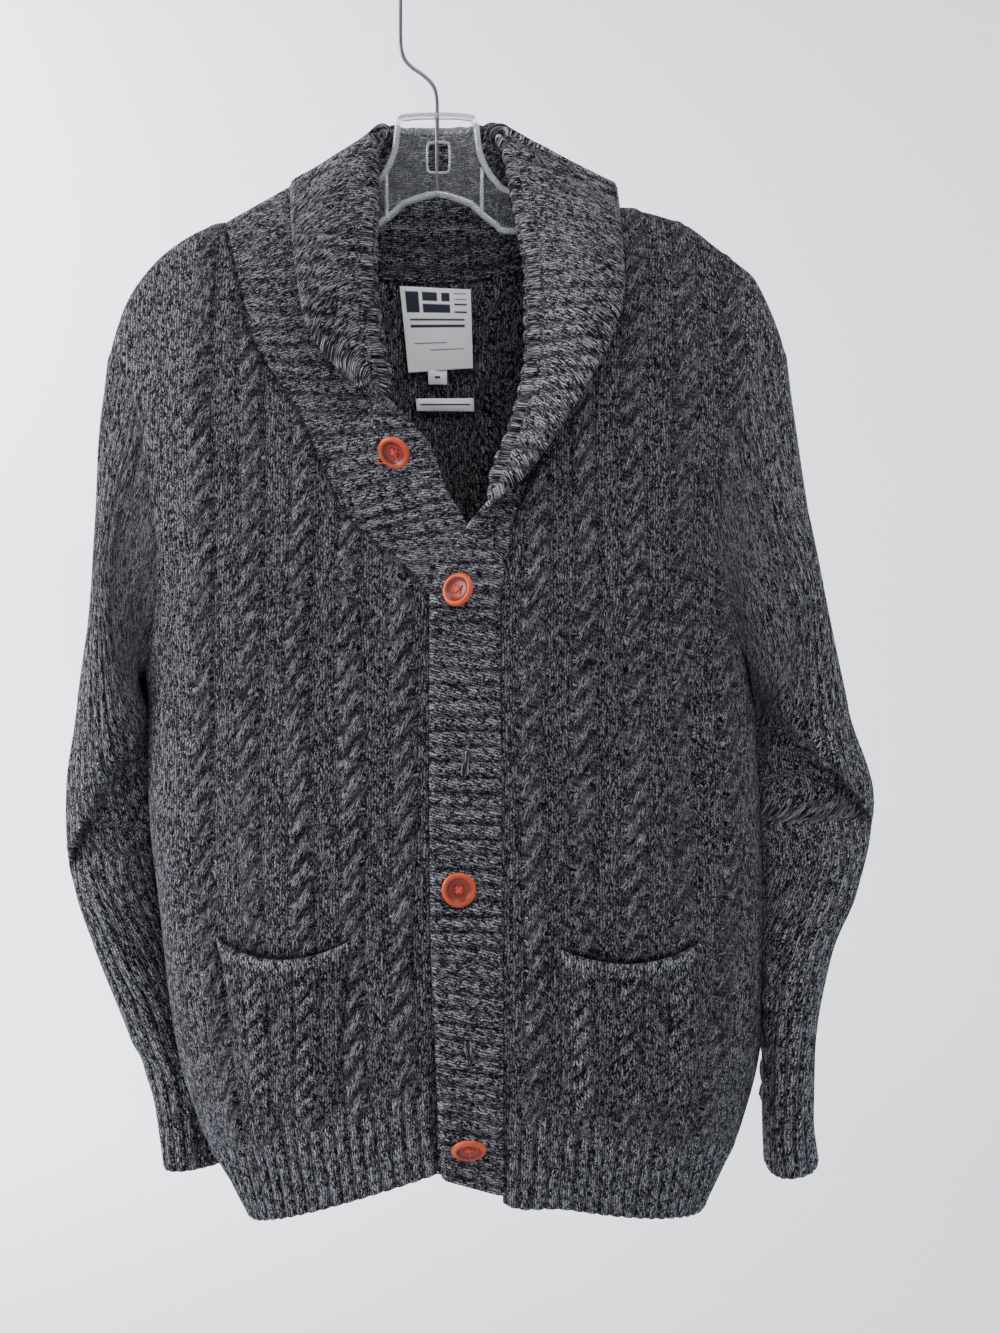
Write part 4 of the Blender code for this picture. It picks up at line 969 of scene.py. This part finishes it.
def marlWool():
    # lambswool marl, one dark and one pale strand plied together and knitted: fine pepper-and-salt flecks
    # that lean left and right with the legs of each stitch, matt, with a faint bloom of loose fibre; painted shade
    # darkens the gaps between legs and the knit's grooves
    material, tree, shader = newMaterial("marl_lambswool_knitted")

    def calc(operation, a, b=0.0):
        return addNode(tree, "ShaderNodeMath", {0: a, 1: b}, operation=operation).outputs[0]

    stitch = addNode(tree, "ShaderNodeAttribute", attribute_name="stitch")
    shadeAndInk = addNode(tree, "ShaderNodeAttribute", attribute_name="shadeAndInk")
    wander = addNode(tree, "ShaderNodeTexNoise", {
        "Vector": stitch.outputs["Vector"], "Scale": 0.11, "Detail": 1.0,
    })
    parts = addNode(tree, "ShaderNodeSeparateXYZ", {0: stitch.outputs["Vector"]})
    drift = addNode(tree, "ShaderNodeSeparateXYZ", {0: wander.outputs["Color"]})
    p = calc("ADD", parts.outputs[0], calc("MULTIPLY", drift.outputs[0], 3.0))
    q = calc("ADD", parts.outputs[1], calc("MULTIPLY", drift.outputs[1], 3.0))
    legs = calc("MULTIPLY", p, 2 / knit["wale"])
    vee = calc("PINGPONG", legs, 1.0)
    climb = calc("MULTIPLY", vee, wool["legSlope"] * knit["wale"] / 2)
    courses = calc("DIVIDE", calc("SUBTRACT", q, climb), knit["course"])
    fleckPlace = addNode(tree, "ShaderNodeCombineXYZ", {
        0: calc("MULTIPLY", vee, wool["along"]), 1: calc("MULTIPLY", courses, wool["flecks"]),
        2: calc("MULTIPLY", calc("FLOOR", legs), 5.37),
    })
    flecks = addNode(tree, "ShaderNodeTexNoise", {
        "Vector": fleckPlace.outputs[0], "Scale": 1.0, "Detail": 1.0, "Roughness": 0.5,
    })
    rounded = calc("POWER", calc("SINE", calc("MULTIPLY", calc("FRACT", courses), pi)), 0.5)
    ridge = calc("POWER", calc("SINE", calc("MULTIPLY", calc("FRACT", legs), pi)), 0.8)
    loop = calc("MULTIPLY", ridge, calc("ADD", calc("MULTIPLY", rounded, 0.5), 0.5))
    leg = addNode(tree, "ShaderNodeCombineXYZ", {0: calc("FLOOR", legs), 1: calc("FLOOR", courses)})
    ownTone = addNode(tree, "ShaderNodeTexWhiteNoise", {"Vector": leg.outputs[0]}, noise_dimensions="2D")
    offTone = calc("MULTIPLY", calc("SUBTRACT", ownTone.outputs["Value"], 0.5), wool["uneven"])
    tufts = addNode(tree, "ShaderNodeTexNoise", {
        "Vector": stitch.outputs["Vector"], "Scale": wool["clump"], "Detail": 1.0, "Roughness": 0.5,
    })
    clump = calc("MULTIPLY", calc("SUBTRACT", tufts.outputs["Fac"], 0.5), wool["mottle"])
    strand = calc("ADD", flecks.outputs["Fac"], calc("ADD", offTone, clump))
    pale = addNode(tree, "ShaderNodeMapRange", {
        "Value": strand, "From Min": wool["from"], "From Max": wool["to"],
    })
    lit = calc("ADD", calc("MULTIPLY", loop, 1 - wool["gap"]), wool["gap"])
    shade = calc("MULTIPLY", pale.outputs[0], lit)
    colour = addNode(tree, "ShaderNodeMixRGB", {0: shade, 1: linear(wool["dark"]), 2: linear(wool["light"])})
    # painted shade: where the knitting's vertex attribute is low, in grooves, furrows and seams, the colour is mixed
    # towards the furrow colour
    deep = addNode(tree, "ShaderNodeMapRange", {
        "Value": shadeAndInk.outputs["Fac"], "To Min": wool["furrowShare"], "To Max": 0.0,
    })
    grooveShaded = addNode(tree, "ShaderNodeMixRGB", {
        0: deep.outputs[0], 1: colour.outputs[0], 2: linear(wool["furrow"]),
    })
    tree.links.new(grooveShaded.outputs[0], shader.inputs["Base Color"])
    height = calc("ADD", loop, calc("MULTIPLY", flecks.outputs["Fac"], 0.6))
    bump = addNode(tree, "ShaderNodeBump", {"Height": height, "Strength": wool["bump"], "Distance": 0.0012})
    tree.links.new(bump.outputs[0], shader.inputs["Normal"])
    shader.inputs["Roughness"].default_value = 0.95
    shader.inputs["Specular IOR Level"].default_value = 0.08
    shader.inputs["Sheen Weight"].default_value = 0.05
    shader.inputs["Sheen Roughness"].default_value = 0.5
    shader.inputs["Sheen Tint"].default_value = linear("#c9ccd8")
    return material


def plainSurface(name, colour, roughness, grainScale=90.0, **more):
    # a plain finish with a slight grain; grainScale is how fine it is, to a metre
    material, tree, shader = newMaterial(name)
    shader.inputs["Base Color"].default_value = linear(colour)
    shader.inputs["Roughness"].default_value = roughness
    for key, value in more.items():
        shader.inputs[key.replace("_", " ")].default_value = value
    place = addNode(tree, "ShaderNodeTexCoord").outputs["Object"]
    grain = addNode(tree, "ShaderNodeTexNoise", {"Vector": place, "Scale": grainScale, "Detail": 2.0})
    bump = addNode(tree, "ShaderNodeBump", {
        "Height": grain.outputs["Fac"], "Strength": 0.08, "Distance": 0.0004,
    })
    tree.links.new(bump.outputs[0], shader.inputs["Normal"])
    return material, tree, shader


def clearStyrene(name, solid, clear):
    # injection moulded clear styrene, polished by its mould; the share not set to transmission is diffuse white,
    # painted highlight that makes the thick bead read as pale lines along its rims
    material, tree, shader = plainSurface(name, "#f6f9fb", 0.05)
    shader.inputs["Transmission Weight"].default_value = clear
    shader.inputs["IOR"].default_value = 1.57
    shader.inputs["Alpha"].default_value = solid
    return material


def hookSteel():
    # drawn steel wire, dark nickel plated
    return plainSurface("nickel_plated_drawn_wire", "#6d6a72", 0.32, 400.0, Metallic=1.0)[0]


def buttonResin():
    # turned polyester button, bright orange at its rim; the colour is darker and redder in its dish and darkest on
    # the dish's wall: painted shade in the recess
    material, tree, shader = plainSurface("turned_polyester_resin", "#b83a06", 0.45)
    reach = addNode(tree, "ShaderNodeAttribute", attribute_name="reach")
    tint = addNode(tree, "ShaderNodeValToRGB", {0: reach.outputs["Fac"]})
    # painted shade: dark red in the dish, darkest on the dish's wall, orange on the rim
    stops = (("#6a1000", 0.0), ("#7c1c00", 0.55), ("#560c00", 0.66), ("#a43000", 0.76), ("#b53e00", 1.0))
    while len(tint.color_ramp.elements) < len(stops):
        tint.color_ramp.elements.new(0.5)
    for element, (code, spot) in zip(tint.color_ramp.elements, stops):
        element.position = spot
        element.color = linear(code)
    tree.links.new(tint.outputs[0], shader.inputs["Base Color"])
    return material


def sewingThread():
    # twisted polyester button thread
    return plainSurface("twisted_polyester_thread", "#d8452c", 0.6, 900.0)[0]


def holeShade():
    # the unlit bore of a button hole or the gap of a buttonhole
    return plainSurface("unlit_hollow", "#0a0807", 0.9)[0]


def labelSatin():
    # damask woven polyester label, off white, with fine cross ribs and plain dark figures
    material, tree, shader = newMaterial("damask_woven_polyester")
    place = addNode(tree, "ShaderNodeAttribute", attribute_name="stitch")
    figure = addNode(tree, "ShaderNodeAttribute", attribute_name="shadeAndInk")
    weave = addNode(tree, "ShaderNodeTexWave", {
        "Vector": place.outputs["Vector"], "Scale": 0.9, "Distortion": 0.4,
    }, bands_direction="Y")
    shade = addNode(tree, "ShaderNodeMixRGB", {
        0: weave.outputs["Fac"], 1: linear("#f0eef0"), 2: linear("#fbf9fa"),
    })
    inked = addNode(tree, "ShaderNodeMixRGB", {
        0: figure.outputs["Fac"], 1: shade.outputs[0], 2: linear("#1d2034"),
    })
    tree.links.new(inked.outputs[0], shader.inputs["Base Color"])
    bump = addNode(tree, "ShaderNodeBump", {
        "Height": weave.outputs["Fac"], "Strength": 0.2, "Distance": 0.0003,
    })
    tree.links.new(bump.outputs[0], shader.inputs["Normal"])
    shader.inputs["Roughness"].default_value = 0.7
    return material


def addPiece(obj, finishes, slot, *nodes):
    for finish in finishes:
        obj.data.materials.append(finish)
    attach(obj, "root")
    if nodes:
        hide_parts(*nodes)
    return obj


def meshObject(name, bm):
    mesh = bpy.data.meshes.new(name)
    bm.to_mesh(mesh)
    bm.free()
    obj = bpy.data.objects.new(name, mesh)
    bpy.context.scene.collection.objects.link(obj)
    return obj


def tube(bm, path, radius, sides=8, closed=False, tall=None):
    # a round bead or wire along a path of points, in millimetres, capped where it ends
    path = [Vector(point) for point in path]
    count = len(path)
    rings = []
    for i, point in enumerate(path):
        before = path[i - 1] if (closed or i) else point
        after = path[(i + 1) % count] if (closed or i < count - 1) else point
        way = (after - before).normalized()
        side = way.cross(Vector((0, 1, 0)))
        side = side.normalized() if side.length > 1e-4 else Vector((1, 0, 0))
        deep = way.cross(side).normalized()
        ring = []
        for k in range(sides):
            angle = 2 * pi * k / sides
            spot = point + side * (radius * cos(angle)) + deep * ((tall or radius) * sin(angle))
            ring.append(bm.verts.new(spot * mm))
        rings.append(ring)
    pairs = list(zip(rings, rings[1:])) + ([(rings[-1], rings[0])] if closed else [])
    faces = []
    for a, b in pairs:
        for k in range(sides):
            faces.append(bm.faces.new((a[k], a[(k + 1) % sides], b[(k + 1) % sides], b[k])))
    if not closed:
        faces += [bm.faces.new(rings[0]), bm.faces.new(rings[-1])]
    return faces


def softPath(points, steps=4, closed=False):
    # a smooth path through the given points
    points = [np.array(point, float) for point in points]
    count = len(points)
    found = []
    for i in range(count if closed else count - 1):
        p0 = points[i - 1] if (closed or i) else points[i]
        p1, p2 = points[i], points[(i + 1) % count]
        p3 = points[(i + 2) % count] if (closed or i < count - 2) else p2
        for k in range(steps):
            t = k / steps
            found.append(0.5 * (2 * p1 + (p2 - p0) * t + (2 * p0 - 5 * p1 + 4 * p2 - p3) * t * t
                                + (3 * p1 - p0 - 3 * p2 + p3) * t ** 3))
    if not closed:
        found.append(points[-1])
    return found


hangerSet = {
    "bead": 2.5, "beadDeep": 4.4,       # half width and half depth of the bead round the plate
    "web": 0.9,                         # half thickness of the plate inside it
    "ribs": ((-37, -160, -194), (33, -158, -189)),
    "frame": 1.1,                       # bead round the window in the neck
}


def makeHanger():
    # a thin clear plate with a deep bead round its outline, a framed window and two upright ribs
    bm = bmesh.new()
    bead = hangerSet["bead"]
    upper = [(row[0], 0, row[1] - bead) for row in hangerPlate[1:]]
    lower = [(row[0], 0, row[2] + bead * (0.9 if abs(row[0]) < 60 else 0.5)) for row in hangerPlate[1:]]
    upper[0] = (upper[0][0] + 2, 0, upper[0][2])
    upper[-1] = (upper[-1][0] - 2, 0, upper[-1][2])
    outline = softPath(upper + lower[::-1], 4, True)
    tube(bm, outline, bead, 10, True, hangerSet["beadDeep"])
    left, right, bottom, top = hangerWindow
    window = [(left, 0, bottom + 3), (left, 0, top - 3), (left + 3, 0, top), (right - 3, 0, top),
              (right, 0, top - 3), (right, 0, bottom + 3), (right - 3, 0, bottom), (left + 3, 0, bottom)]
    tube(bm, softPath(window, 4, True), hangerSet["frame"], 8, True, 2.4)
    for x, high, low in hangerSet["ribs"]:
        tube(bm, [(x, 0, high), (x, 0, (high + low) / 2), (x, 0, low)], 1.5, 8, False, 3.4)
    edges = []
    for loop in (outline, softPath(window, 4, True)):
        verts = [bm.verts.new(Vector((point[0], -hangerSet["web"], point[2])) * mm) for point in loop]
        edges += [bm.edges.new((a, b)) for a, b in zip(verts, verts[1:] + verts[:1])]
    plate = bmesh.ops.triangle_fill(bm, edges=edges, use_beauty=True, normal=(0, -1, 0))["geom"]
    faces = [item for item in plate if isinstance(item, bmesh.types.BMFace)]
    beads = len(bm.faces) - len(faces)
    raised = bmesh.ops.extrude_face_region(bm, geom=faces, use_keep_orig=True)["geom"]
    moved = [item for item in raised if isinstance(item, bmesh.types.BMVert)]
    bmesh.ops.translate(bm, verts=moved, vec=(0, 2 * hangerSet["web"] * mm, 0))
    bmesh.ops.recalc_face_normals(bm, faces=bm.faces)
    bm.faces.ensure_lookup_table()
    for i, face in enumerate(bm.faces):
        face.material_index = int(i >= beads)
        face.smooth = i < beads and len(face.verts) == 4
    return meshObject("hanger_clear", bm)


def makeHook():
    # the wire from its foot in the hanger's neck up over the rail
    bm = bmesh.new()
    points = [(0, -181), (0, -150), (0, -120), (-0.5, -106), (-3, -97), (-10, -89.5), (-18, -84),
              (-24, -77.5), (-26.6, -69), (-27, -58), (-27, -42)]
    radius = 27.0
    for angle in np.linspace(pi, -0.08 * pi, 17):
        points.append((radius * cos(angle), 1.8 - radius + radius * sin(angle)))
    tube(bm, softPath([(x, 0, z) for x, z in points], 3), 1.6, 12)
    bmesh.ops.recalc_face_normals(bm, faces=bm.faces)
    for face in bm.faces:
        face.smooth = len(face.verts) == 4
    return meshObject("hook_wire", bm)


buttonSet = {
    # profile from the middle outwards: reach and height
    "profile": ((0, 1.5), (5.2, 1.5), (6.8, 1.9), (7.9, 2.9), (8.6, 3.5), (9.6, 3.9), (10.8, 3.7), (11.7, 2.9),
                (12.1, 1.9), (11.8, 0.9), (10.6, 0.2), (0, 0.2)),
    "holes": 2.3, "bore": 1.05,
    # depth of its middle, lean forward, lean sideways and turn, in degrees; loose thread from its middle
    "button_collar": (-73.0, 29, -26, 20, ((0, 3.5, 0), (4, 2.8, -4), (1, 1.6, -7), (-7, 0.8, -11), (-14, 0.5, -13))),
    "button_upper": (-83.5, -13, -30, 8, ()),
    "button_lower": (-88.0, 4, 0, 0, ()),
    "button_hem": (-95.0, 46, 3, 30, ((0, 3.5, 1), (2.5, 3.2, -3), (4.4, 2.4, -8), (3, 2, -13), (0.5, 1.6, -17))),
}


def makeButton(name, x, z):
    # a turned disc with a dish and four bores, sewn on with crossed thread
    y, nod, swing, roll, tail = buttonSet[name]
    bm = bmesh.new()
    reach = bm.verts.layers.float.new("reach")
    verts = [bm.verts.new((r * mm, -h * mm, 0)) for r, h in buttonSet["profile"]]
    edges = [bm.edges.new(pair) for pair in zip(verts, verts[1:])]
    bmesh.ops.spin(bm, geom=verts + edges, cent=(0, 0, 0), axis=(0, 1, 0), angle=2 * pi, steps=48, use_merge=True)
    bmesh.ops.remove_doubles(bm, verts=bm.verts, dist=1e-6)
    for vert in bm.verts:
        vert[reach] = Vector((vert.co.x, vert.co.z)).length / (12.1 * mm)
    bmesh.ops.recalc_face_normals(bm, faces=bm.faces)
    for face in bm.faces:
        face.smooth = True
    disc = len(bm.faces)
    hole = buttonSet["holes"]
    for a, b in ((-1, -1), (-1, 1), (1, -1), (1, 1)):
        spot = Vector((a * hole, -1.3, b * hole))
        for face in tube(bm, [spot, spot + Vector((0.001, -0.26, 0))], buttonSet["bore"], 14):
            face.material_index = 1
    threads = []
    for k in range(3):
        off = (k - 1) * 0.55
        for a, b in ((-1, 1), (1, 1)):
            start = Vector((a * hole + off, -1.4, -b * hole + off * a))
            end = Vector((-a * hole + off, -1.4, b * hole + off * a))
            middle = (start + end) / 2 - Vector((0, 0.9 + 0.3 * k, 0))
            threads.append(softPath([start, middle, end], 4))
    if tail:
        threads.append(softPath([(a, -b, c) for a, b, c in tail], 4))
    for path in threads:
        for face in tube(bm, path, 0.34, 6):
            face.material_index = 2
            face.smooth = len(face.verts) == 4
    turn = Euler((nod * pi / 180, roll * pi / 180, swing * pi / 180), "YXZ").to_matrix().to_4x4()
    bmesh.ops.transform(bm, matrix=Matrix.Translation(Vector((x, y, z)) * mm) @ turn, verts=bm.verts)
    return meshObject(name + "_resin", bm)


# Slits worked in the band: middle, length and lean.
holesOnBand = ((23.0, -591.0, 17.0, 3.0), (25.0, -790.0, 15.0, -3.0))


def bandSurface(x, z):
    side = bodyDepth(np.array(x), np.array(z), "front")
    return -float(side) - cut["bandLift"]


def makeButtonholes():
    # two upright slits with whipped edges
    bm = bmesh.new()
    rng = np.random.default_rng(5)
    for x, z, tall, lean in holesOnBand:
        front = bandSurface(x, z) - 3.4
        gap = [(x - lean / 2, front, z - tall / 2), (x - 0.4, front - 0.2, z), (x + lean / 2, front, z + tall / 2)]
        for face in tube(bm, softPath(gap, 5), 0.75, 8, False, 0.7):
            face.material_index = 1
        for side in (-1, 1):
            for k in range(11):
                share = (k + 0.5) / 11
                cx = x + lean * (share - 0.5) + side * 1.5
                cz = z + tall * (share - 0.5) + rng.uniform(-0.25, 0.25)
                stitchPath = [(cx - 0.9, front + 0.3, cz - 0.4), (cx, front - 0.8, cz), (cx + 0.9, front + 0.3, cz + 0.4)]
                tube(bm, softPath(stitchPath, 3), 0.62, 6)
    bmesh.ops.recalc_face_normals(bm, faces=bm.faces)
    for face in bm.faces:
        face.smooth = True
    stitch = bm.verts.layers.float_vector.new("stitch")
    shadeAndInk = bm.verts.layers.float.new("shadeAndInk")
    for vert in bm.verts:
        vert[stitch] = vert.co / mm
        vert[shadeAndInk] = 0.9
    return meshObject("buttonholes_whipped", bm)


# Labels on the back: corners (upper left, upper right, lower right, lower left), depth at top and foot, figures.
labels = {
    "label_main": (((-28.5, -240.5), (24.5, -243.0), (26.0, -300.0), (-22.5, -303.5)), (20.5, 31.0)),
    "label_size": (((-8.0, -301.0), (6.5, -301.5), (6.5, -312.0), (-7.5, -312.0)), (31.5, 33.0)),
    "label_strip": (((-17.0, -322.5), (26.5, -322.0), (27.0, -332.0), (-16.5, -331.5)), (34.5, 35.5)),
}
figures = {
    # left, right, top and bottom of each woven bar, as shares of the label
    "label_main": ((0.06, 0.26, 0.05, 0.30), (0.30, 0.52, 0.05, 0.16), (0.30, 0.70, 0.20, 0.30), (0.58, 0.70, 0.05, 0.16),
                   (0.76, 0.93, 0.05, 0.07), (0.76, 0.93, 0.12, 0.14), (0.76, 0.93, 0.19, 0.21), (0.76, 0.93, 0.28, 0.30),
                   (0.10, 0.90, 0.37, 0.40), (0.10, 0.90, 0.45, 0.48), (0.14, 0.62, 0.66, 0.675),
                   (0.36, 0.88, 0.74, 0.755), (0.3, 0.7, 0.93, 0.94)),
    "label_size": ((0.35, 0.65, 0.45, 0.62),),
    "label_strip": ((0.08, 0.92, 0.42, 0.58),),
}


def makeLabel(name):
    # a thin woven patch, sewn at its edges, that bellies out a little in its middle
    corners, (topDeep, footDeep) = labels[name]
    size = 84 if name == "label_main" else 24
    u, v = np.meshgrid(np.linspace(0, 1, size + 1), np.linspace(0, 1, size + 1))
    points = np.zeros((size + 1, size + 1, 3))
    for axis in (0, 1):
        a, b, c, d = (corner[axis] for corner in corners)
        points[..., 2 * axis] = (a * (1 - u) + b * u) * (1 - v) + (d * (1 - u) + c * u) * v
    belly = np.sin(pi * u) * np.sin(pi * v) * 1.6 + 0.4 * np.sin(7 * u + 3 * v)
    points[..., 1] = topDeep + (footDeep - topDeep) * v - belly
    inked = np.zeros_like(u)
    for left, right, top, bottom in figures[name]:
        inside = (u >= left) & (u <= right) & (v >= top) & (v <= bottom)
        inked = np.where(inside, 1.0, inked)
    coords = np.stack([points[..., 0], points[..., 2], 0 * u], axis=-1)
    behind = points + np.array([0, 0.6, 0])
    return shellObject(name + "_woven", [(points, coords, inked), (behind, coords, 0 * inked)])


materials = {
    "knit": marlWool(), "bead": clearStyrene("thick_moulded_styrene", 0.9, 0.76),
    "web": clearStyrene("thin_moulded_styrene", 0.09, 0.7), "wire": hookSteel(), "button": buttonResin(), "thread": sewingThread(),
    "hollow": holeShade(), "label": labelSatin(),
}
pieces = {}
pieces["back"] = makeBack()
print("back knitted")
pieces.update(makeFronts())
print("fronts knitted")
pieces.update(makeSleeves())
print("sleeves knitted")
pieces.update(makeCollars())
print("collar and bands knitted")
pieces.update(makePockets())
print("pockets knitted")
for name, obj in pieces.items():
    addPiece(obj, (materials["knit"],), "knit", name)
addPiece(makeButtonholes(), (materials["knit"], materials["hollow"]), "knit")
buttonFinishes = (materials["button"], materials["hollow"], materials["thread"])
for name, (x, z) in buttons.items():
    addPiece(makeButton(name, x, z), buttonFinishes, "button", name)
for name in labels:
    addPiece(makeLabel(name), (materials["label"],), "label", name)
addPiece(makeHanger(), (materials["bead"], materials["web"]), "clear_plastic", "hanger")
addPiece(makeHook(), (materials["wire"],), "wire", "hook")
print("buttons, labels and hanger made")

stageSet = {"floor": -1.55, "reach": 4.3, "turn": 1.3, "wall": 2.6}


def makeStage():
    # a wide pale bowl: flat underfoot, rising softly far behind
    bm = bmesh.new()
    reach, turn = stageSet["reach"], stageSet["turn"]
    profile = [(0, 0), (reach - turn, 0)]
    for k in range(1, 13):
        angle = pi / 2 * k / 12
        profile.append((reach - turn + turn * sin(angle), turn - turn * cos(angle)))
    profile.append((reach, stageSet["wall"] + turn))
    verts = [bm.verts.new((r, 0, stageSet["floor"] + h)) for r, h in profile]
    edges = [bm.edges.new(pair) for pair in zip(verts, verts[1:])]
    bmesh.ops.spin(bm, geom=verts + edges, cent=(0, 0, 0), axis=(0, 0, 1), angle=2 * pi, steps=72, use_merge=True)
    bmesh.ops.remove_doubles(bm, verts=bm.verts, dist=1e-5)
    bmesh.ops.recalc_face_normals(bm, faces=bm.faces)
    for face in bm.faces:
        face.smooth = True
    mesh = bpy.data.meshes.new("floor")
    bm.to_mesh(mesh)
    bm.free()
    floor = bpy.data.objects.new("floor", mesh)
    bpy.context.scene.collection.objects.link(floor)
    material, tree, shader = newMaterial("painted_plaster")
    shader.inputs["Base Color"].default_value = linear("#d8dade")
    shader.inputs["Roughness"].default_value = 0.95
    mesh.materials.append(material)


def addLight(name, place, aim, size, power, colour):
    data = bpy.data.lights.new(name, "AREA")
    data.shape = "RECTANGLE"
    data.size, data.size_y = size
    data.energy = power
    data.color = colour
    light = bpy.data.objects.new(name, data)
    light.location = place
    light.rotation_euler = (Vector(aim) - Vector(place)).to_track_quat("-Z", "Y").to_euler()
    bpy.context.scene.collection.objects.link(light)


def makeLights():
    middle = (0.02, 0, -0.55)
    addLight("window", (-2.75, -0.42, 0.45), middle, (1.3, 1.5), 136, (1.0, 0.99, 0.985))
    addLight("ceiling", (0.5, -1.2, 1.9), middle, (1.6, 1.6), 62, (1.0, 0.99, 0.97))
    addLight("wallWash", (-2.9, 2.5, 1.1), (-1.9, 4.0, 0.0), (1.6, 1.6), 560, (0.97, 0.985, 1.0))
    world = bpy.data.worlds.new("room")
    bpy.context.scene.world = world
    world.use_nodes = True
    world.node_tree.nodes["Background"].inputs[0].default_value = linear("#eceef2")
    world.node_tree.nodes["Background"].inputs[1].default_value = 0.26


makeStage()
makeLights()
print("stage and lights set")
